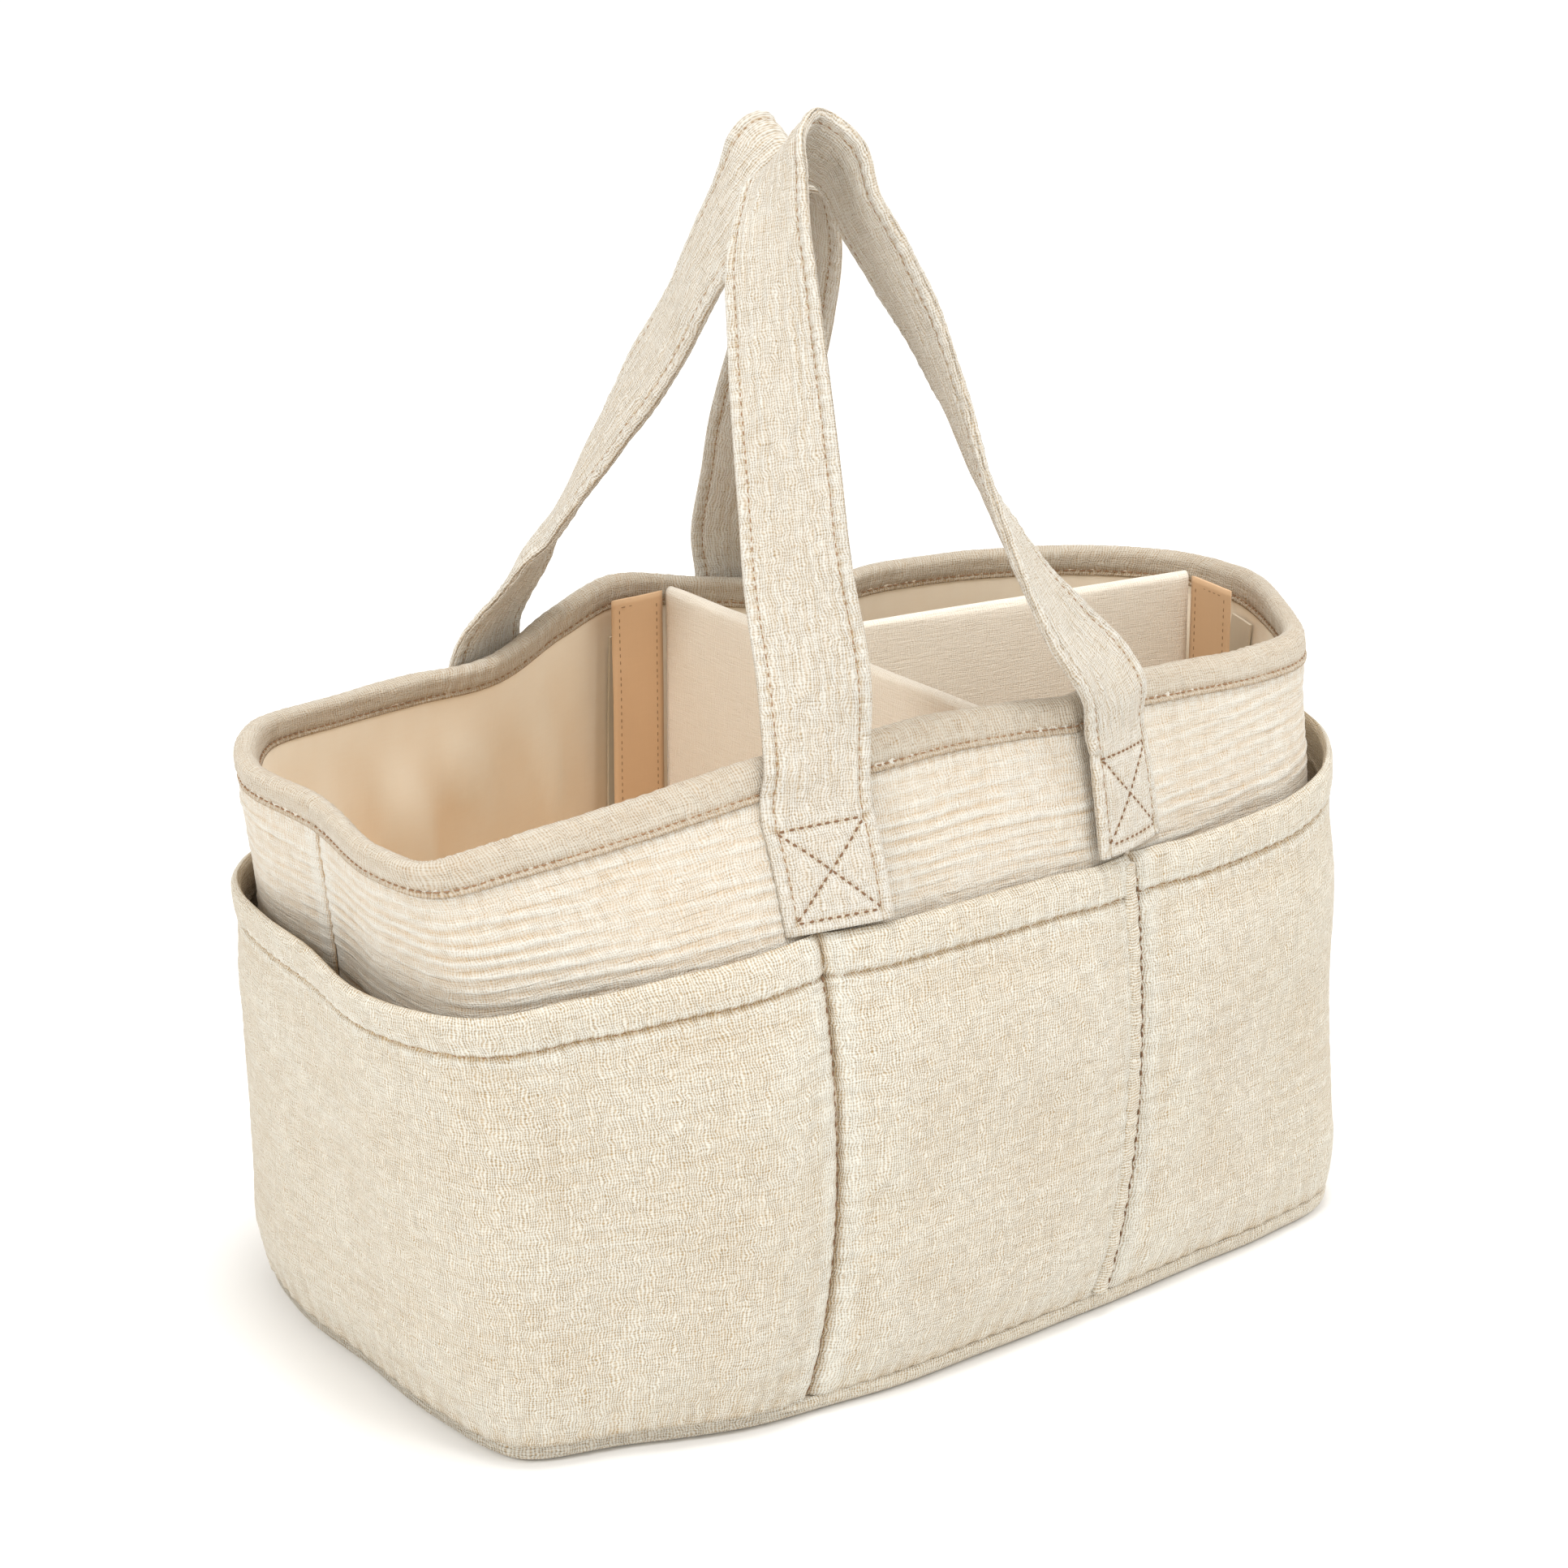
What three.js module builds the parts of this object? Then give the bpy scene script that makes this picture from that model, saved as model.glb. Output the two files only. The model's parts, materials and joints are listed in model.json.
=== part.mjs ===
// A soft caddy for nappies: padded oblong body, pockets all round, two long
// handles and a T-shaped divider held by hook-and-loop flaps.
// Millimetres, +Z up, front at -Y, origin under the middle of the body.
import * as THREE from 'three';

// Driving dimensions of the body
const bodyLength = 380;
const bodyDepth = 222;
const bodyHeight = 219;
const wallBulge = 4;
const leanPower = 3;
const rimTug = 6;
const tugPower = 3;

// Layers of the wall, from the outside in
const seatGap = 0.3;
const outerThickness = 2;
const paddingThickness = 2.6;
const liningThickness = 1.2;
const bindingThickness = 1.2;
const bindingDrop = 11;
const bindingRound = 3.5;
const bindingCrown = 0.8;

// Base
const baseSkin = 3;
const baseBand = 7.7;
const baseRound = 4.5;
const baseRimWidth = 2.6;
const boardThickness = 2.7;
const floorThickness = 1.4;

// Pockets
const pocketThickness = 3;
const pocketGap = 0.8;
const pocketClear = 0.8;
const pocketGape = 9.5;
const seamCurl = 0.33;
const seamCurlPower = 4;
const seamGap = 0.4;

// Handles
const strapWidth = 38;
const strapThickness = 6;
const strapEdge = 1.2;
const handleHalfSpan = 60;
const tabHeight = 39;
const tabDrop = 17;
const tabGap = 0.9;
const handleTop = 412;
const strapSteps = 40;

// Divider
const dividerStand = 2.5;
const panelThickness = 5;
const coverThickness = 0.9;
const boardInset = 3;
const flapWidth = 22;
const flapThickness = 1.2;
const tapeWidth = 14;
const tapeThickness = 1;
const tapeInset = 4;
const tapeGap = 0.7;
const flapDrop = 1.5;
const panelRunningGap = 0.9;
const crossYaw = THREE.MathUtils.degToRad(5.9);
const longYaw = THREE.MathUtils.degToRad(-9.2);

// Outline stations, left end first and then round by the front, right end and
// back. Shares of half the length and half the depth.
const baseOutlineShares = [
  [-1.003, 0.0], [-1.003, -0.4], [-0.953, -0.784], [-0.753, -0.914], [-0.558, -1.027],
  [-0.363, -1.056], [-0.221, -1.068], [-0.047, -1.05], [0.126, -1.03], [0.329, -1.0],
  [0.52, -0.962], [0.726, -0.923], [0.905, -0.829], [0.995, -0.45], [1.005, 0.0],
  [1.0, 0.432], [0.921, 0.793], [0.732, 0.946], [0.526, 1.005], [0.29, 1.05],
  [0.132, 1.075], [-0.042, 1.085], [-0.21, 1.07], [-0.384, 1.035], [-0.553, 0.99],
  [-0.732, 0.95], [-0.932, 0.811], [-1.003, 0.432],
];

// Rim stations: the same shares, and the rim's height as a share of the height.
const rimOutlineShares = [
  [-1.074, -0.027, 0.995], [-1.097, -0.43, 0.99], [-1.05, -0.65, 0.989], [-0.885, -0.705, 1.002],
  [-0.642, -0.721, 1.018], [-0.363, -0.746, 1.041], [-0.2, -0.788, 1.048], [-0.026, -0.779, 1.048],
  [0.142, -0.784, 1.041], [0.329, -0.79, 1.041], [0.52, -0.73, 1.027], [0.747, -0.667, 1.005],
  [0.916, -0.565, 0.995], [1.03, -0.245, 0.995], [1.079, 0.04, 0.995], [1.053, 0.342, 0.991],
  [0.926, 0.63, 0.984], [0.737, 0.847, 0.977], [0.547, 0.91, 0.979], [0.347, 0.895, 0.984],
  [0.147, 0.99, 1.007], [-0.042, 1.083, 1.027], [-0.221, 1.0, 1.007], [-0.4, 0.892, 0.975],
  [-0.563, 0.892, 0.972], [-0.753, 0.842, 0.977], [-0.958, 0.712, 0.991], [-1.084, 0.378, 0.995],
];

// How far the wall swells at mid height, as a share of the bulge. Corners draw in.
const bulgeShares = [
  0.6, 0.8, 0.4, 0.4, 0.6, 0.6, 0.6, 0.6, 0.6, 0.6, 0.3, -0.8, -1.9, -0.8, 0.6,
  0.6, -0.4, 0.4, 1.0, 1.0, 1.0, 1.0, 1.0, 1.0, 1.0, 0.4, -0.4, 0.2,
];

// Out and in steps of the wall beside the right front tab, where the strap tugs
// the rim askew, column by column from the first station
const tugStart = 7.5;
const tugShares = [0, 0.1, 1, 0.25, -0.35, 0];
const stationCount = baseOutlineShares.length;
const columnsPerStation = 2;

// Stations of the seams between the pockets and of the two end seams
const frontLeftSeam = 5;
const frontRightSeam = 9;
const backRightSeam = 19;
const backLeftSeam = 23;
const frontMiddle = 7;
const leftEndSeam = 0;
const rightEndSeam = 14;
const paddingCorners = [3, 11, 17, 25];

// How far each station's pocket stands open, and how high its edge is
const pocketGapeShares = [
  0.9, 1.0, 0.75, 0.5, 0.28, 0.0, 0.14, 0.2, 0.14, 0.0, 0.3, 0.35, 0.4, 0.8, 0.9,
  0.8, 0.5, 0.3, 0.2, 0.0, 0.14, 0.2, 0.14, 0.0, 0.14, 0.14, 0.2, 0.5,
];
const seamCurlShares = [
  0, 0, 0, 0, 0.5, 1, 1, 1, 1, 1, 0.5, 0, 0, 0, 0, 0, 0, 0, 0, 0, 0, 0, 0, 0, 0, 0, 0, 0,
];
const pocketTopShares = [
  0.985, 0.98, 0.985, 0.99, 1.0, 1.01, 1.012, 1.01, 1.008, 1.0, 0.99, 0.985, 1.0, 1.01, 1.0,
  0.98, 0.95, 0.925, 0.905, 0.9, 0.9, 0.9, 0.9, 0.9, 0.905, 0.925, 0.95, 0.975,
];
const wallRowShares = [0, 0.16, 0.4, 0.62, 0.8, 0.92, 1];
const pocketRowShares = [0, 0.18, 0.42, 0.68, 0.86, 1];
const pocketGapePower = 1.4;

const halfLength = bodyLength / 2;
const halfDepth = bodyDepth / 2;
const dividerTop = bodyHeight + dividerStand;
const wallThickness = outerThickness + paddingThickness + liningThickness + 2 * seatGap;
const bindingOut = bindingThickness + seatGap;
const bindingIn = bindingThickness + 3 * seatGap;
const wallFoot = baseBand + seatGap;
const wallTopDrop = bindingRound + 2 * seatGap;

// The front pocket's edge runs just under the stitched ends of the handle
const frontTabFoot = rimOutlineShares[frontMiddle][2] * bodyHeight - tabDrop - tabHeight;
const pocketTop = (frontTabFoot - pocketClear) / pocketTopShares[frontMiddle];

// Linear mix of two numbers
function mix(a, b, share) {
  return a + (b - a) * share;
}

// A station table's value at any point round the body, smoothed between stations
function tableAt(shares, station) {
  const turn = ((station % stationCount) + stationCount) % stationCount;
  const low = Math.floor(turn);
  const step = turn - low;
  const blend = step * step * (3 - 2 * step);
  return mix(shares[low], shares[(low + 1) % stationCount], blend);
}

function tugAt(station) {
  const step = (station - tugStart) * columnsPerStation;
  const low = Math.floor(step);
  const outside = low < 0 || low > tugShares.length - 2;
  return outside ? 0 : mix(tugShares[low], tugShares[low + 1], step - low);
}

const baseCurve = new THREE.CatmullRomCurve3(
  baseOutlineShares.map(([x, y]) => new THREE.Vector3(x * halfLength, y * halfDepth, 0)), true, 'centripetal');
const rimCurve = new THREE.CatmullRomCurve3(
  rimOutlineShares.map(([x, y, z]) => new THREE.Vector3(x * halfLength, y * halfDepth, z * bodyHeight)),
  true, 'centripetal');

// Share of the way round, for a station that may run past either end of the list
function turnShare(station) {
  return (((station % stationCount) + stationCount) % stationCount) / stationCount;
}

function rimHeight(station) {
  return rimCurve.getPoint(turnShare(station)).z;
}

// Point of the outline at a station and a share of the wall's height, moved
// inwards by inset. The outline is the outside of base, pockets and binding.
function outlinePoint(station, share, inset, z) {
  const turn = turnShare(station);
  const lean = Math.pow(share, leanPower);
  const point = baseCurve.getPoint(turn).lerp(rimCurve.getPoint(turn), lean);
  const tangent = baseCurve.getTangent(turn).lerp(rimCurve.getTangent(turn), lean);
  const bulge = wallBulge * tableAt(bulgeShares, station) * Math.sin(Math.PI * share);
  const tug = rimTug * tugAt(station) * Math.pow(Math.max(share, 0), tugPower);
  const out = (bulge + tug - inset) / Math.hypot(tangent.x, tangent.y);
  return new THREE.Vector3(point.x + tangent.y * out, point.y - tangent.x * out, z);
}

// Point of the wall at a height, depth measured inwards from its outer face
function wallAt(station, z, depth) {
  const share = (z - wallFoot) / (rimHeight(station) - wallTopDrop - wallFoot);
  const inset = mix(pocketGap + pocketThickness, bindingOut, share);
  return outlinePoint(station, share, inset + depth, z);
}

// Heights of the wall's rows at a station: shares up to the binding's edge, then
// the top under the binding's fold
function wallHeights(station) {
  const bindingFoot = rimHeight(station) - bindingDrop;
  const heights = wallRowShares.map((share) => mix(wallFoot, bindingFoot, share));
  return [...heights, rimHeight(station) - wallTopDrop];
}

// Rows of wall points over a list of stations
function wallGrid(stations, depth) {
  const columns = stations.map((station) => wallHeights(station).map((z) => wallAt(station, z, depth)));
  return columns[0].map((_, row) => columns.map((column) => column[row]));
}

// Geometry from lists of points and triangles
function solidGeometry(points, triangles) {
  const geometry = new THREE.BufferGeometry();
  const positions = new Float32Array(points.length * 3);
  points.forEach((point, i) => point.toArray(positions, i * 3));
  geometry.setAttribute('position', new THREE.BufferAttribute(positions, 3));
  geometry.setIndex(triangles.flat());
  geometry.computeVertexNormals();
  return geometry;
}

// Closed slab between an outer and an inner grid of points with equal rows and
// columns. Columns run anticlockwise seen from above, rows run upwards.
function slab(outer, inner, closed) {
  const rows = outer.length;
  const columns = outer[0].length;
  const points = [...outer.flat(), ...inner.flat()];
  const triangles = [];
  const at = (layer, row, column) => layer * rows * columns + row * columns + (column % columns);
  const quad = (a, b, c, d) => triangles.push([a, b, c], [a, c, d]);
  const lastColumn = closed ? columns : columns - 1;
  for (let row = 0; row < rows - 1; row += 1) {
    for (let column = 0; column < lastColumn; column += 1) {
      quad(at(0, row, column), at(0, row, column + 1), at(0, row + 1, column + 1), at(0, row + 1, column));
      triangles.push([at(1, row, column), at(1, row + 1, column + 1), at(1, row, column + 1)]);
      triangles.push([at(1, row, column), at(1, row + 1, column), at(1, row + 1, column + 1)]);
    }
  }
  for (let column = 0; column < lastColumn; column += 1) {
    quad(at(0, rows - 1, column), at(0, rows - 1, column + 1), at(1, rows - 1, column + 1), at(1, rows - 1, column));
    quad(at(1, 0, column), at(1, 0, column + 1), at(0, 0, column + 1), at(0, 0, column));
  }
  if (!closed) {
    const end = columns - 1;
    for (let row = 0; row < rows - 1; row += 1) {
      quad(at(1, row, 0), at(0, row, 0), at(0, row + 1, 0), at(1, row + 1, 0));
      quad(at(0, row, end), at(1, row, end), at(1, row + 1, end), at(0, row + 1, end));
    }
  }
  return solidGeometry(points, triangles);
}

// Closed body from rings of points, each ring anticlockwise round the axis that
// the rings climb, with a fan over the first and the last ring
function ringStack(rings) {
  const count = rings[0].length;
  const points = rings.flat();
  const triangles = [];
  for (let ring = 0; ring < rings.length - 1; ring += 1) {
    for (let i = 0; i < count; i += 1) {
      const a = ring * count + i;
      const b = ring * count + ((i + 1) % count);
      triangles.push([a, b, b + count], [a, b + count, a + count]);
    }
  }
  const centre = (ring) => {
    const middle = new THREE.Vector3();
    ring.forEach((point) => middle.add(point));
    return middle.divideScalar(count);
  };
  const first = points.push(centre(rings[0])) - 1;
  const last = points.push(centre(rings[rings.length - 1])) - 1;
  const offset = (rings.length - 1) * count;
  for (let i = 0; i < count; i += 1) {
    const next = (i + 1) % count;
    triangles.push([first, next, i], [last, offset + i, offset + next]);
  }
  return solidGeometry(points, triangles);
}

// Closed tube whose rings follow each other round a loop
function ringLoop(rings) {
  const count = rings[0].length;
  const points = rings.flat();
  const triangles = [];
  rings.forEach((ring, r) => {
    const here = r * count;
    const ahead = ((r + 1) % rings.length) * count;
    for (let i = 0; i < count; i += 1) {
      const next = (i + 1) % count;
      triangles.push([here + i, here + next, ahead + next], [here + i, ahead + next, ahead + i]);
    }
  });
  return solidGeometry(points, triangles);
}

// Stations from one to another, evenly spread, the end stations pulled in by trim
function stationsBetween(from, to, trim) {
  const steps = Math.round((to - from) * columnsPerStation);
  const list = [];
  for (let i = 0; i <= steps; i += 1) {
    list.push(mix(from, to, i / steps));
  }
  list[0] += trim;
  list[steps] -= trim;
  return list;
}

// Trim in stations that leaves a seam gap in millimetres
function seamTrim(station) {
  const here = baseCurve.getPoint(turnShare(station));
  const ahead = baseCurve.getPoint(turnShare(station + 1));
  return seamGap / 2 / here.distanceTo(ahead);
}

// A strip of the wall between two depths and two stations
function wallPanel(from, to, near, far) {
  const stations = stationsBetween(from, to, seamTrim(from));
  return slab(wallGrid(stations, near), wallGrid(stations, far), false);
}

function wallRing(near, far) {
  const stations = stationsBetween(0, stationCount, 0).slice(0, -1);
  return slab(wallGrid(stations, near), wallGrid(stations, far), true);
}

// A pocket between two seams. Its gap to the wall widens towards the top edge.
function pocketPanel(from, to) {
  const stations = stationsBetween(from, to, seamTrim(from));
  const grid = (extra) => pocketRowShares.map((row) => stations.map((station) => {
    const z = mix(wallFoot, pocketTop * tableAt(pocketTopShares, station), row);
    const gape = pocketGape * tableAt(pocketGapeShares, station) * Math.pow(row, pocketGapePower);
    const curl = seamCurl * tableAt(seamCurlShares, station) * Math.pow(1 - row, seamCurlPower);
    return wallAt(station - curl, z, -(pocketGap + gape + extra));
  }));
  return slab(grid(pocketThickness), grid(0), false);
}

// Flat or dished plates under the body: rings of the base outline
function basePlate(profile) {
  const stations = stationsBetween(0, stationCount, 0).slice(0, -1);
  return ringStack(profile.map(([inset, z]) => stations.map((s) => outlinePoint(s, 0, inset, z))));
}

// The binding folds over the wall's edge: a hooked section swept round the rim
function rimBinding() {
  const stations = stationsBetween(0, stationCount, 0).slice(0, -1);
  const outside = -bindingOut;
  const outsideSkin = outside + bindingThickness;
  const inside = wallThickness + bindingIn;
  const insideSkin = inside - bindingThickness;
  const middle = wallThickness / 2;
  const shoulder = bindingRound / 2;
  const section = [
    [outside, -bindingDrop],
    [outsideSkin, -bindingDrop],
    [outsideSkin, -bindingRound],
    [middle, -bindingThickness - seatGap],
    [insideSkin, -bindingRound],
    [insideSkin, -bindingDrop],
    [inside, -bindingDrop],
    [inside, -bindingRound],
    [inside - shoulder, -bindingCrown],
    [middle, 0],
    [outside + shoulder, -bindingCrown],
    [outside, -bindingRound],
  ];
  return ringLoop(stations.map((station) => {
    const height = rimHeight(station);
    return section.map(([depth, drop]) => wallAt(station, height + drop, depth));
  }));
}

// Where a skin of the wall lies. The skin is looked up on its flat facets, by
// its X (front and back) or Y (ends) and its height.
const sides = {
  front: { from: 3, to: 11, axis: 'x' },
  right: { from: 13, to: 15, axis: 'y' },
  back: { from: 17, to: 25, axis: 'x' },
};
function pointWhere(points, axis, value) {
  const last = points.length - 1;
  const rising = points[last][axis] > points[0][axis];
  const passed = points.findIndex((point) => (rising ? point[axis] >= value : point[axis] <= value));
  const next = passed < 0 ? last : Math.max(passed, 1);
  const [before, after] = [points[next - 1], points[next]];
  return before.clone().lerp(after, (value - before[axis]) / (after[axis] - before[axis]));
}
function skinAt(side, along, z, depth) {
  const { from, to, axis } = sides[side];
  const columns = stationsBetween(from, to, 0).map((station) => {
    const points = wallHeights(station).map((height) => wallAt(station, height, depth));
    return pointWhere(points, 'z', z);
  });
  return pointWhere(columns, axis, along);
}

// A strip that follows one side of the wall, between two depths
function skinStrip(side, lowAlong, highAlong, lowZ, highZ, near, far, columns, rows) {
  const rising = side !== 'back';
  const grid = (depth) => {
    const list = [];
    for (let row = 0; row <= rows; row += 1) {
      const z = mix(lowZ, highZ, row / rows);
      const line = [];
      for (let column = 0; column <= columns; column += 1) {
        const share = rising ? column / columns : 1 - column / columns;
        line.push(skinAt(side, mix(lowAlong, highAlong, share), z, depth));
      }
      list.push(line);
    }
    return list;
  };
  return slab(grid(near), grid(far), false);
}

// Handles. Each loop climbs from the fold above its tabs to the rim, then follows
// its path in shares: across (of the half span), back from the rim towards the
// apex, up from the rim to the top, and how many quarter turns the strap has made.
const handles = {
  front: {
    side: 'front',
    outward: -1,
    tabCentreShares: [-0.985, 1.02],
    rimCentreShares: [-0.96, 0.95],
    rimTurnShares: [0.06, 1.88],
    tabStation: 7,
    apexDepthShare: -0.077,
    apexHeightShare: 1,
    apexSlope: THREE.MathUtils.degToRad(46),
    pathShares: [
      [-0.92, 0.08, 0.118, 0.3], [-0.87, 0.25, 0.293, 0.5], [-0.8, 0.385, 0.43, 0.57],
      [-0.725, 0.53, 0.578, 0.63], [-0.633, 0.69, 0.73, 0.7], [-0.55, 0.81, 0.846, 0.77],
      [-0.43, 0.91, 0.935, 0.84], [-0.33, 0.965, 0.985, 0.93], [-0.2, 1.0, 1.0, 1.0],
      [-0.02, 0.93, 0.96, 1.1], [0.06, 0.83, 0.863, 1.16], [0.157, 0.73, 0.775, 1.19],
      [0.283, 0.61, 0.655, 1.23], [0.367, 0.485, 0.53, 1.3], [0.45, 0.34, 0.38, 1.4],
      [0.583, 0.19, 0.233, 1.55], [0.733, 0.08, 0.123, 1.68],
    ],
  },
  back: {
    side: 'back',
    outward: 1,
    tabCentreShares: [-1.12, 0.77],
    rimCentreShares: [-1.11, 0.72],
    rimTurnShares: [0.2, 1.8],
    tabStation: 23,
    apexDepthShare: 0.203,
    apexHeightShare: 0.975,
    apexSlope: THREE.MathUtils.degToRad(38),
    pathShares: [
      [-0.98, 0.1, 0.119, 0.35], [-0.93, 0.18, 0.19, 0.42], [-0.84, 0.24, 0.242, 0.47],
      [-0.74, 0.327, 0.335, 0.56], [-0.65, 0.415, 0.418, 0.62], [-0.57, 0.503, 0.5, 0.66],
      [-0.475, 0.616, 0.593, 0.68], [-0.4, 0.704, 0.675, 0.7], [-0.35, 0.78, 0.753, 0.72],
      [-0.29, 0.868, 0.835, 0.76], [-0.21, 0.95, 0.912, 0.82], [-0.1, 0.995, 0.97, 0.92],
      [0.05, 1.0, 1.0, 1.0], [0.16, 0.99, 0.974, 1.1], [0.25, 0.943, 0.9, 1.18],
      [0.317, 0.868, 0.806, 1.24], [0.367, 0.767, 0.707, 1.28], [0.408, 0.667, 0.613, 1.31],
      [0.45, 0.553, 0.518, 1.35], [0.483, 0.44, 0.424, 1.4], [0.527, 0.327, 0.325, 1.48],
      [0.592, 0.214, 0.215, 1.58], [0.667, 0.063, 0.073, 1.7],
    ],
  },
};

// Top of the sewn tabs on one side
function tabTop(handle) {
  return rimHeight(handle.tabStation) - tabDrop;
}

// Centre and width direction of the strap beside the wall, clear of the binding
function strapBeside(handle, across, z) {
  const centre = across * handleHalfSpan;
  const [left, middle, right] = [-0.5, 0, 0.5]
    .map((share) => skinAt(handle.side, centre + share * strapWidth, z, 0));
  const width = right.clone().sub(left).setZ(0).normalize();
  const out = new THREE.Vector3(-width.y * handle.outward, width.x * handle.outward, 0);
  const swell = Math.max(0, middle.sub(left).dot(out));
  const reach = swell + bindingOut + tabGap + strapThickness / 2;
  return { point: left.lerp(right, 0.5).addScaledVector(out, reach), width };
}

// Height of the rim over a point of one side
function rimHeightAbove(side, along) {
  const { from, to, axis } = sides[side];
  const columns = stationsBetween(from, to, 0).map((station) => wallAt(station, rimHeight(station), 0));
  const gaps = columns.map((point) => Math.abs(point[axis] - along));
  return columns[gaps.indexOf(Math.min(...gaps))].z;
}

function strapSection() {
  const half = strapWidth / 2;
  const shoulder = half - strapThickness / 2;
  const face = strapThickness / 2;
  return [
    [half, -strapEdge], [half, strapEdge], [shoulder, face], [-shoulder, face],
    [-half, strapEdge], [-half, -strapEdge], [-shoulder, -face], [shoulder, -face],
  ];
}

// One loop: a flat strap whose width lies along the rim at the tabs and turns
// a quarter on the way up each leg, so that it meets itself edge-up at the apex
function handleLoop(handle) {
  const foldHeight = tabTop(handle) + seatGap;
  const folds = handle.tabCentreShares.map((across) => strapBeside(handle, across, foldHeight));
  const [rimStart, rimEnd] = handle.rimCentreShares.map((across) => {
    const overRim = rimHeightAbove(handle.side, across * handleHalfSpan);
    return strapBeside(handle, across, overRim).point.setZ(overRim + strapThickness / 2);
  });
  const apexDepth = handle.apexDepthShare * halfDepth;
  const apexHeight = handle.apexHeightShare * handleTop;
  const last = handle.pathShares.length - 1;
  const middle = handle.pathShares.map(([across, inward, up], i) => {
    const start = rimStart.clone().lerp(rimEnd, i / last);
    return new THREE.Vector3(
      across * handleHalfSpan, mix(start.y, apexDepth, inward), mix(start.z, apexHeight, up));
  });
  const path = [folds[0].point, rimStart, ...middle, rimEnd, folds[1].point];
  const [firstTurn, lastTurn] = handle.rimTurnShares;
  const turns = [0, firstTurn, ...handle.pathShares.map((entry) => entry[3]), lastTurn, 2];
  const curve = new THREE.CatmullRomCurve3(path, false, 'centripetal');
  const apexEdge = new THREE.Vector3(
    0, handle.outward * Math.cos(handle.apexSlope), Math.sin(handle.apexSlope));
  const rings = [];
  for (let i = 0; i <= strapSteps; i += 1) {
    const point = curve.getPoint(i / strapSteps);
    const place = (i / strapSteps) * (turns.length - 1);
    const low = Math.min(Math.floor(place), turns.length - 2);
    const quarters = mix(turns[low], turns[low + 1], place - low);
    const turn = (Math.PI / 2) * quarters;
    const width = folds[quarters < 1 ? 0 : 1].width.clone()
      .multiplyScalar(Math.cos(turn)).addScaledVector(apexEdge, Math.sin(turn));
    const tangent = curve.getTangent(i / strapSteps);
    if (i === 0 || i === strapSteps) {
      tangent.set(0, 0, i === 0 ? 1 : -1);
    }
    width.addScaledVector(tangent, -width.dot(tangent)).normalize();
    const face = tangent.clone().cross(width);
    rings.push(strapSection().map(([w, t]) => point.clone().addScaledVector(width, w).addScaledVector(face, t)));
  }
  return ringStack(rings);
}

// The sewn end of a strap, flat on the wall
function handleTab(handle, centre) {
  const top = tabTop(handle);
  const half = strapWidth / 2;
  return skinStrip(handle.side, centre - half, centre + half, top - tabHeight, top,
    -(tabGap + strapThickness), -tabGap, 8, 4);
}

// A box-shaped plate standing between two points on the floor plan
function standingPlate(start, end, thickness, lowZ, highZ) {
  const run = new THREE.Vector3().subVectors(end, start);
  const geometry = new THREE.BoxGeometry(run.length(), thickness, highZ - lowZ);
  geometry.rotateZ(Math.atan2(run.y, run.x));
  geometry.translate((start.x + end.x) / 2, (start.y + end.y) / 2, (lowZ + highZ) / 2);
  return geometry;
}

// A cover is a folded sleeve, open at the foot and at both ends
function sleeve(start, end, lowZ, highZ) {
  const run = new THREE.Vector3().subVectors(end, start);
  const half = panelThickness / 2;
  const inner = half - coverThickness;
  const shape = new THREE.Shape([
    new THREE.Vector2(-half, lowZ), new THREE.Vector2(-inner, lowZ),
    new THREE.Vector2(-inner, highZ - coverThickness), new THREE.Vector2(inner, highZ - coverThickness),
    new THREE.Vector2(inner, lowZ), new THREE.Vector2(half, lowZ),
    new THREE.Vector2(half, highZ), new THREE.Vector2(-half, highZ),
  ]);
  const geometry = new THREE.ExtrudeGeometry(shape, { depth: run.length(), bevelEnabled: false });
  geometry.rotateX(Math.PI / 2);
  geometry.rotateZ(Math.PI / 2 + Math.atan2(run.y, run.x));
  geometry.translate(start.x, start.y, 0);
  return geometry;
}

// Divider: where its ends meet the lining
const junctionShares = [0.076, 0.302];
const junction = new THREE.Vector3(junctionShares[0] * halfLength, junctionShares[1] * halfDepth, 0);
const crossRun = new THREE.Vector3(Math.sin(crossYaw), -Math.cos(crossYaw), 0);
const longRun = new THREE.Vector3(Math.cos(longYaw), Math.sin(longYaw), 0);
const floorTop = wallFoot;
const flapTop = dividerTop - flapDrop;
const flapFoot = floorTop + flapDrop;
const tapeTop = rimHeight(rightEndSeam) - bindingDrop - tapeInset;
const tapeFoot = flapFoot + tapeInset;
const across = { front: 'y', back: 'y', right: 'x' };
const bindingRoom = tapeThickness + seatGap * 2;
const tapeStack = tapeGap + tapeThickness * 2 + seatGap * 2;

function lerpTo(origin, run, distance) {
  return origin.clone().addScaledVector(run, distance);
}

// Least room against one side for a panel's end with its flap and tapes
function flapFace(side, alongs, outward) {
  const rooms = [];
  alongs.forEach((along) => {
    [tapeFoot, mix(tapeFoot, tapeTop, 0.5), tapeTop].forEach((z) => {
      rooms.push(skinAt(side, along, z, wallThickness)[across[side]] * outward - tapeStack);
    });
    [flapFoot, flapTop, rimHeightAbove(side, along) - bindingRound].forEach((z) => {
      rooms.push(skinAt(side, along, z, wallThickness + bindingIn)[across[side]] * outward - bindingRoom);
    });
  });
  return Math.min(...rooms) * outward;
}

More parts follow.
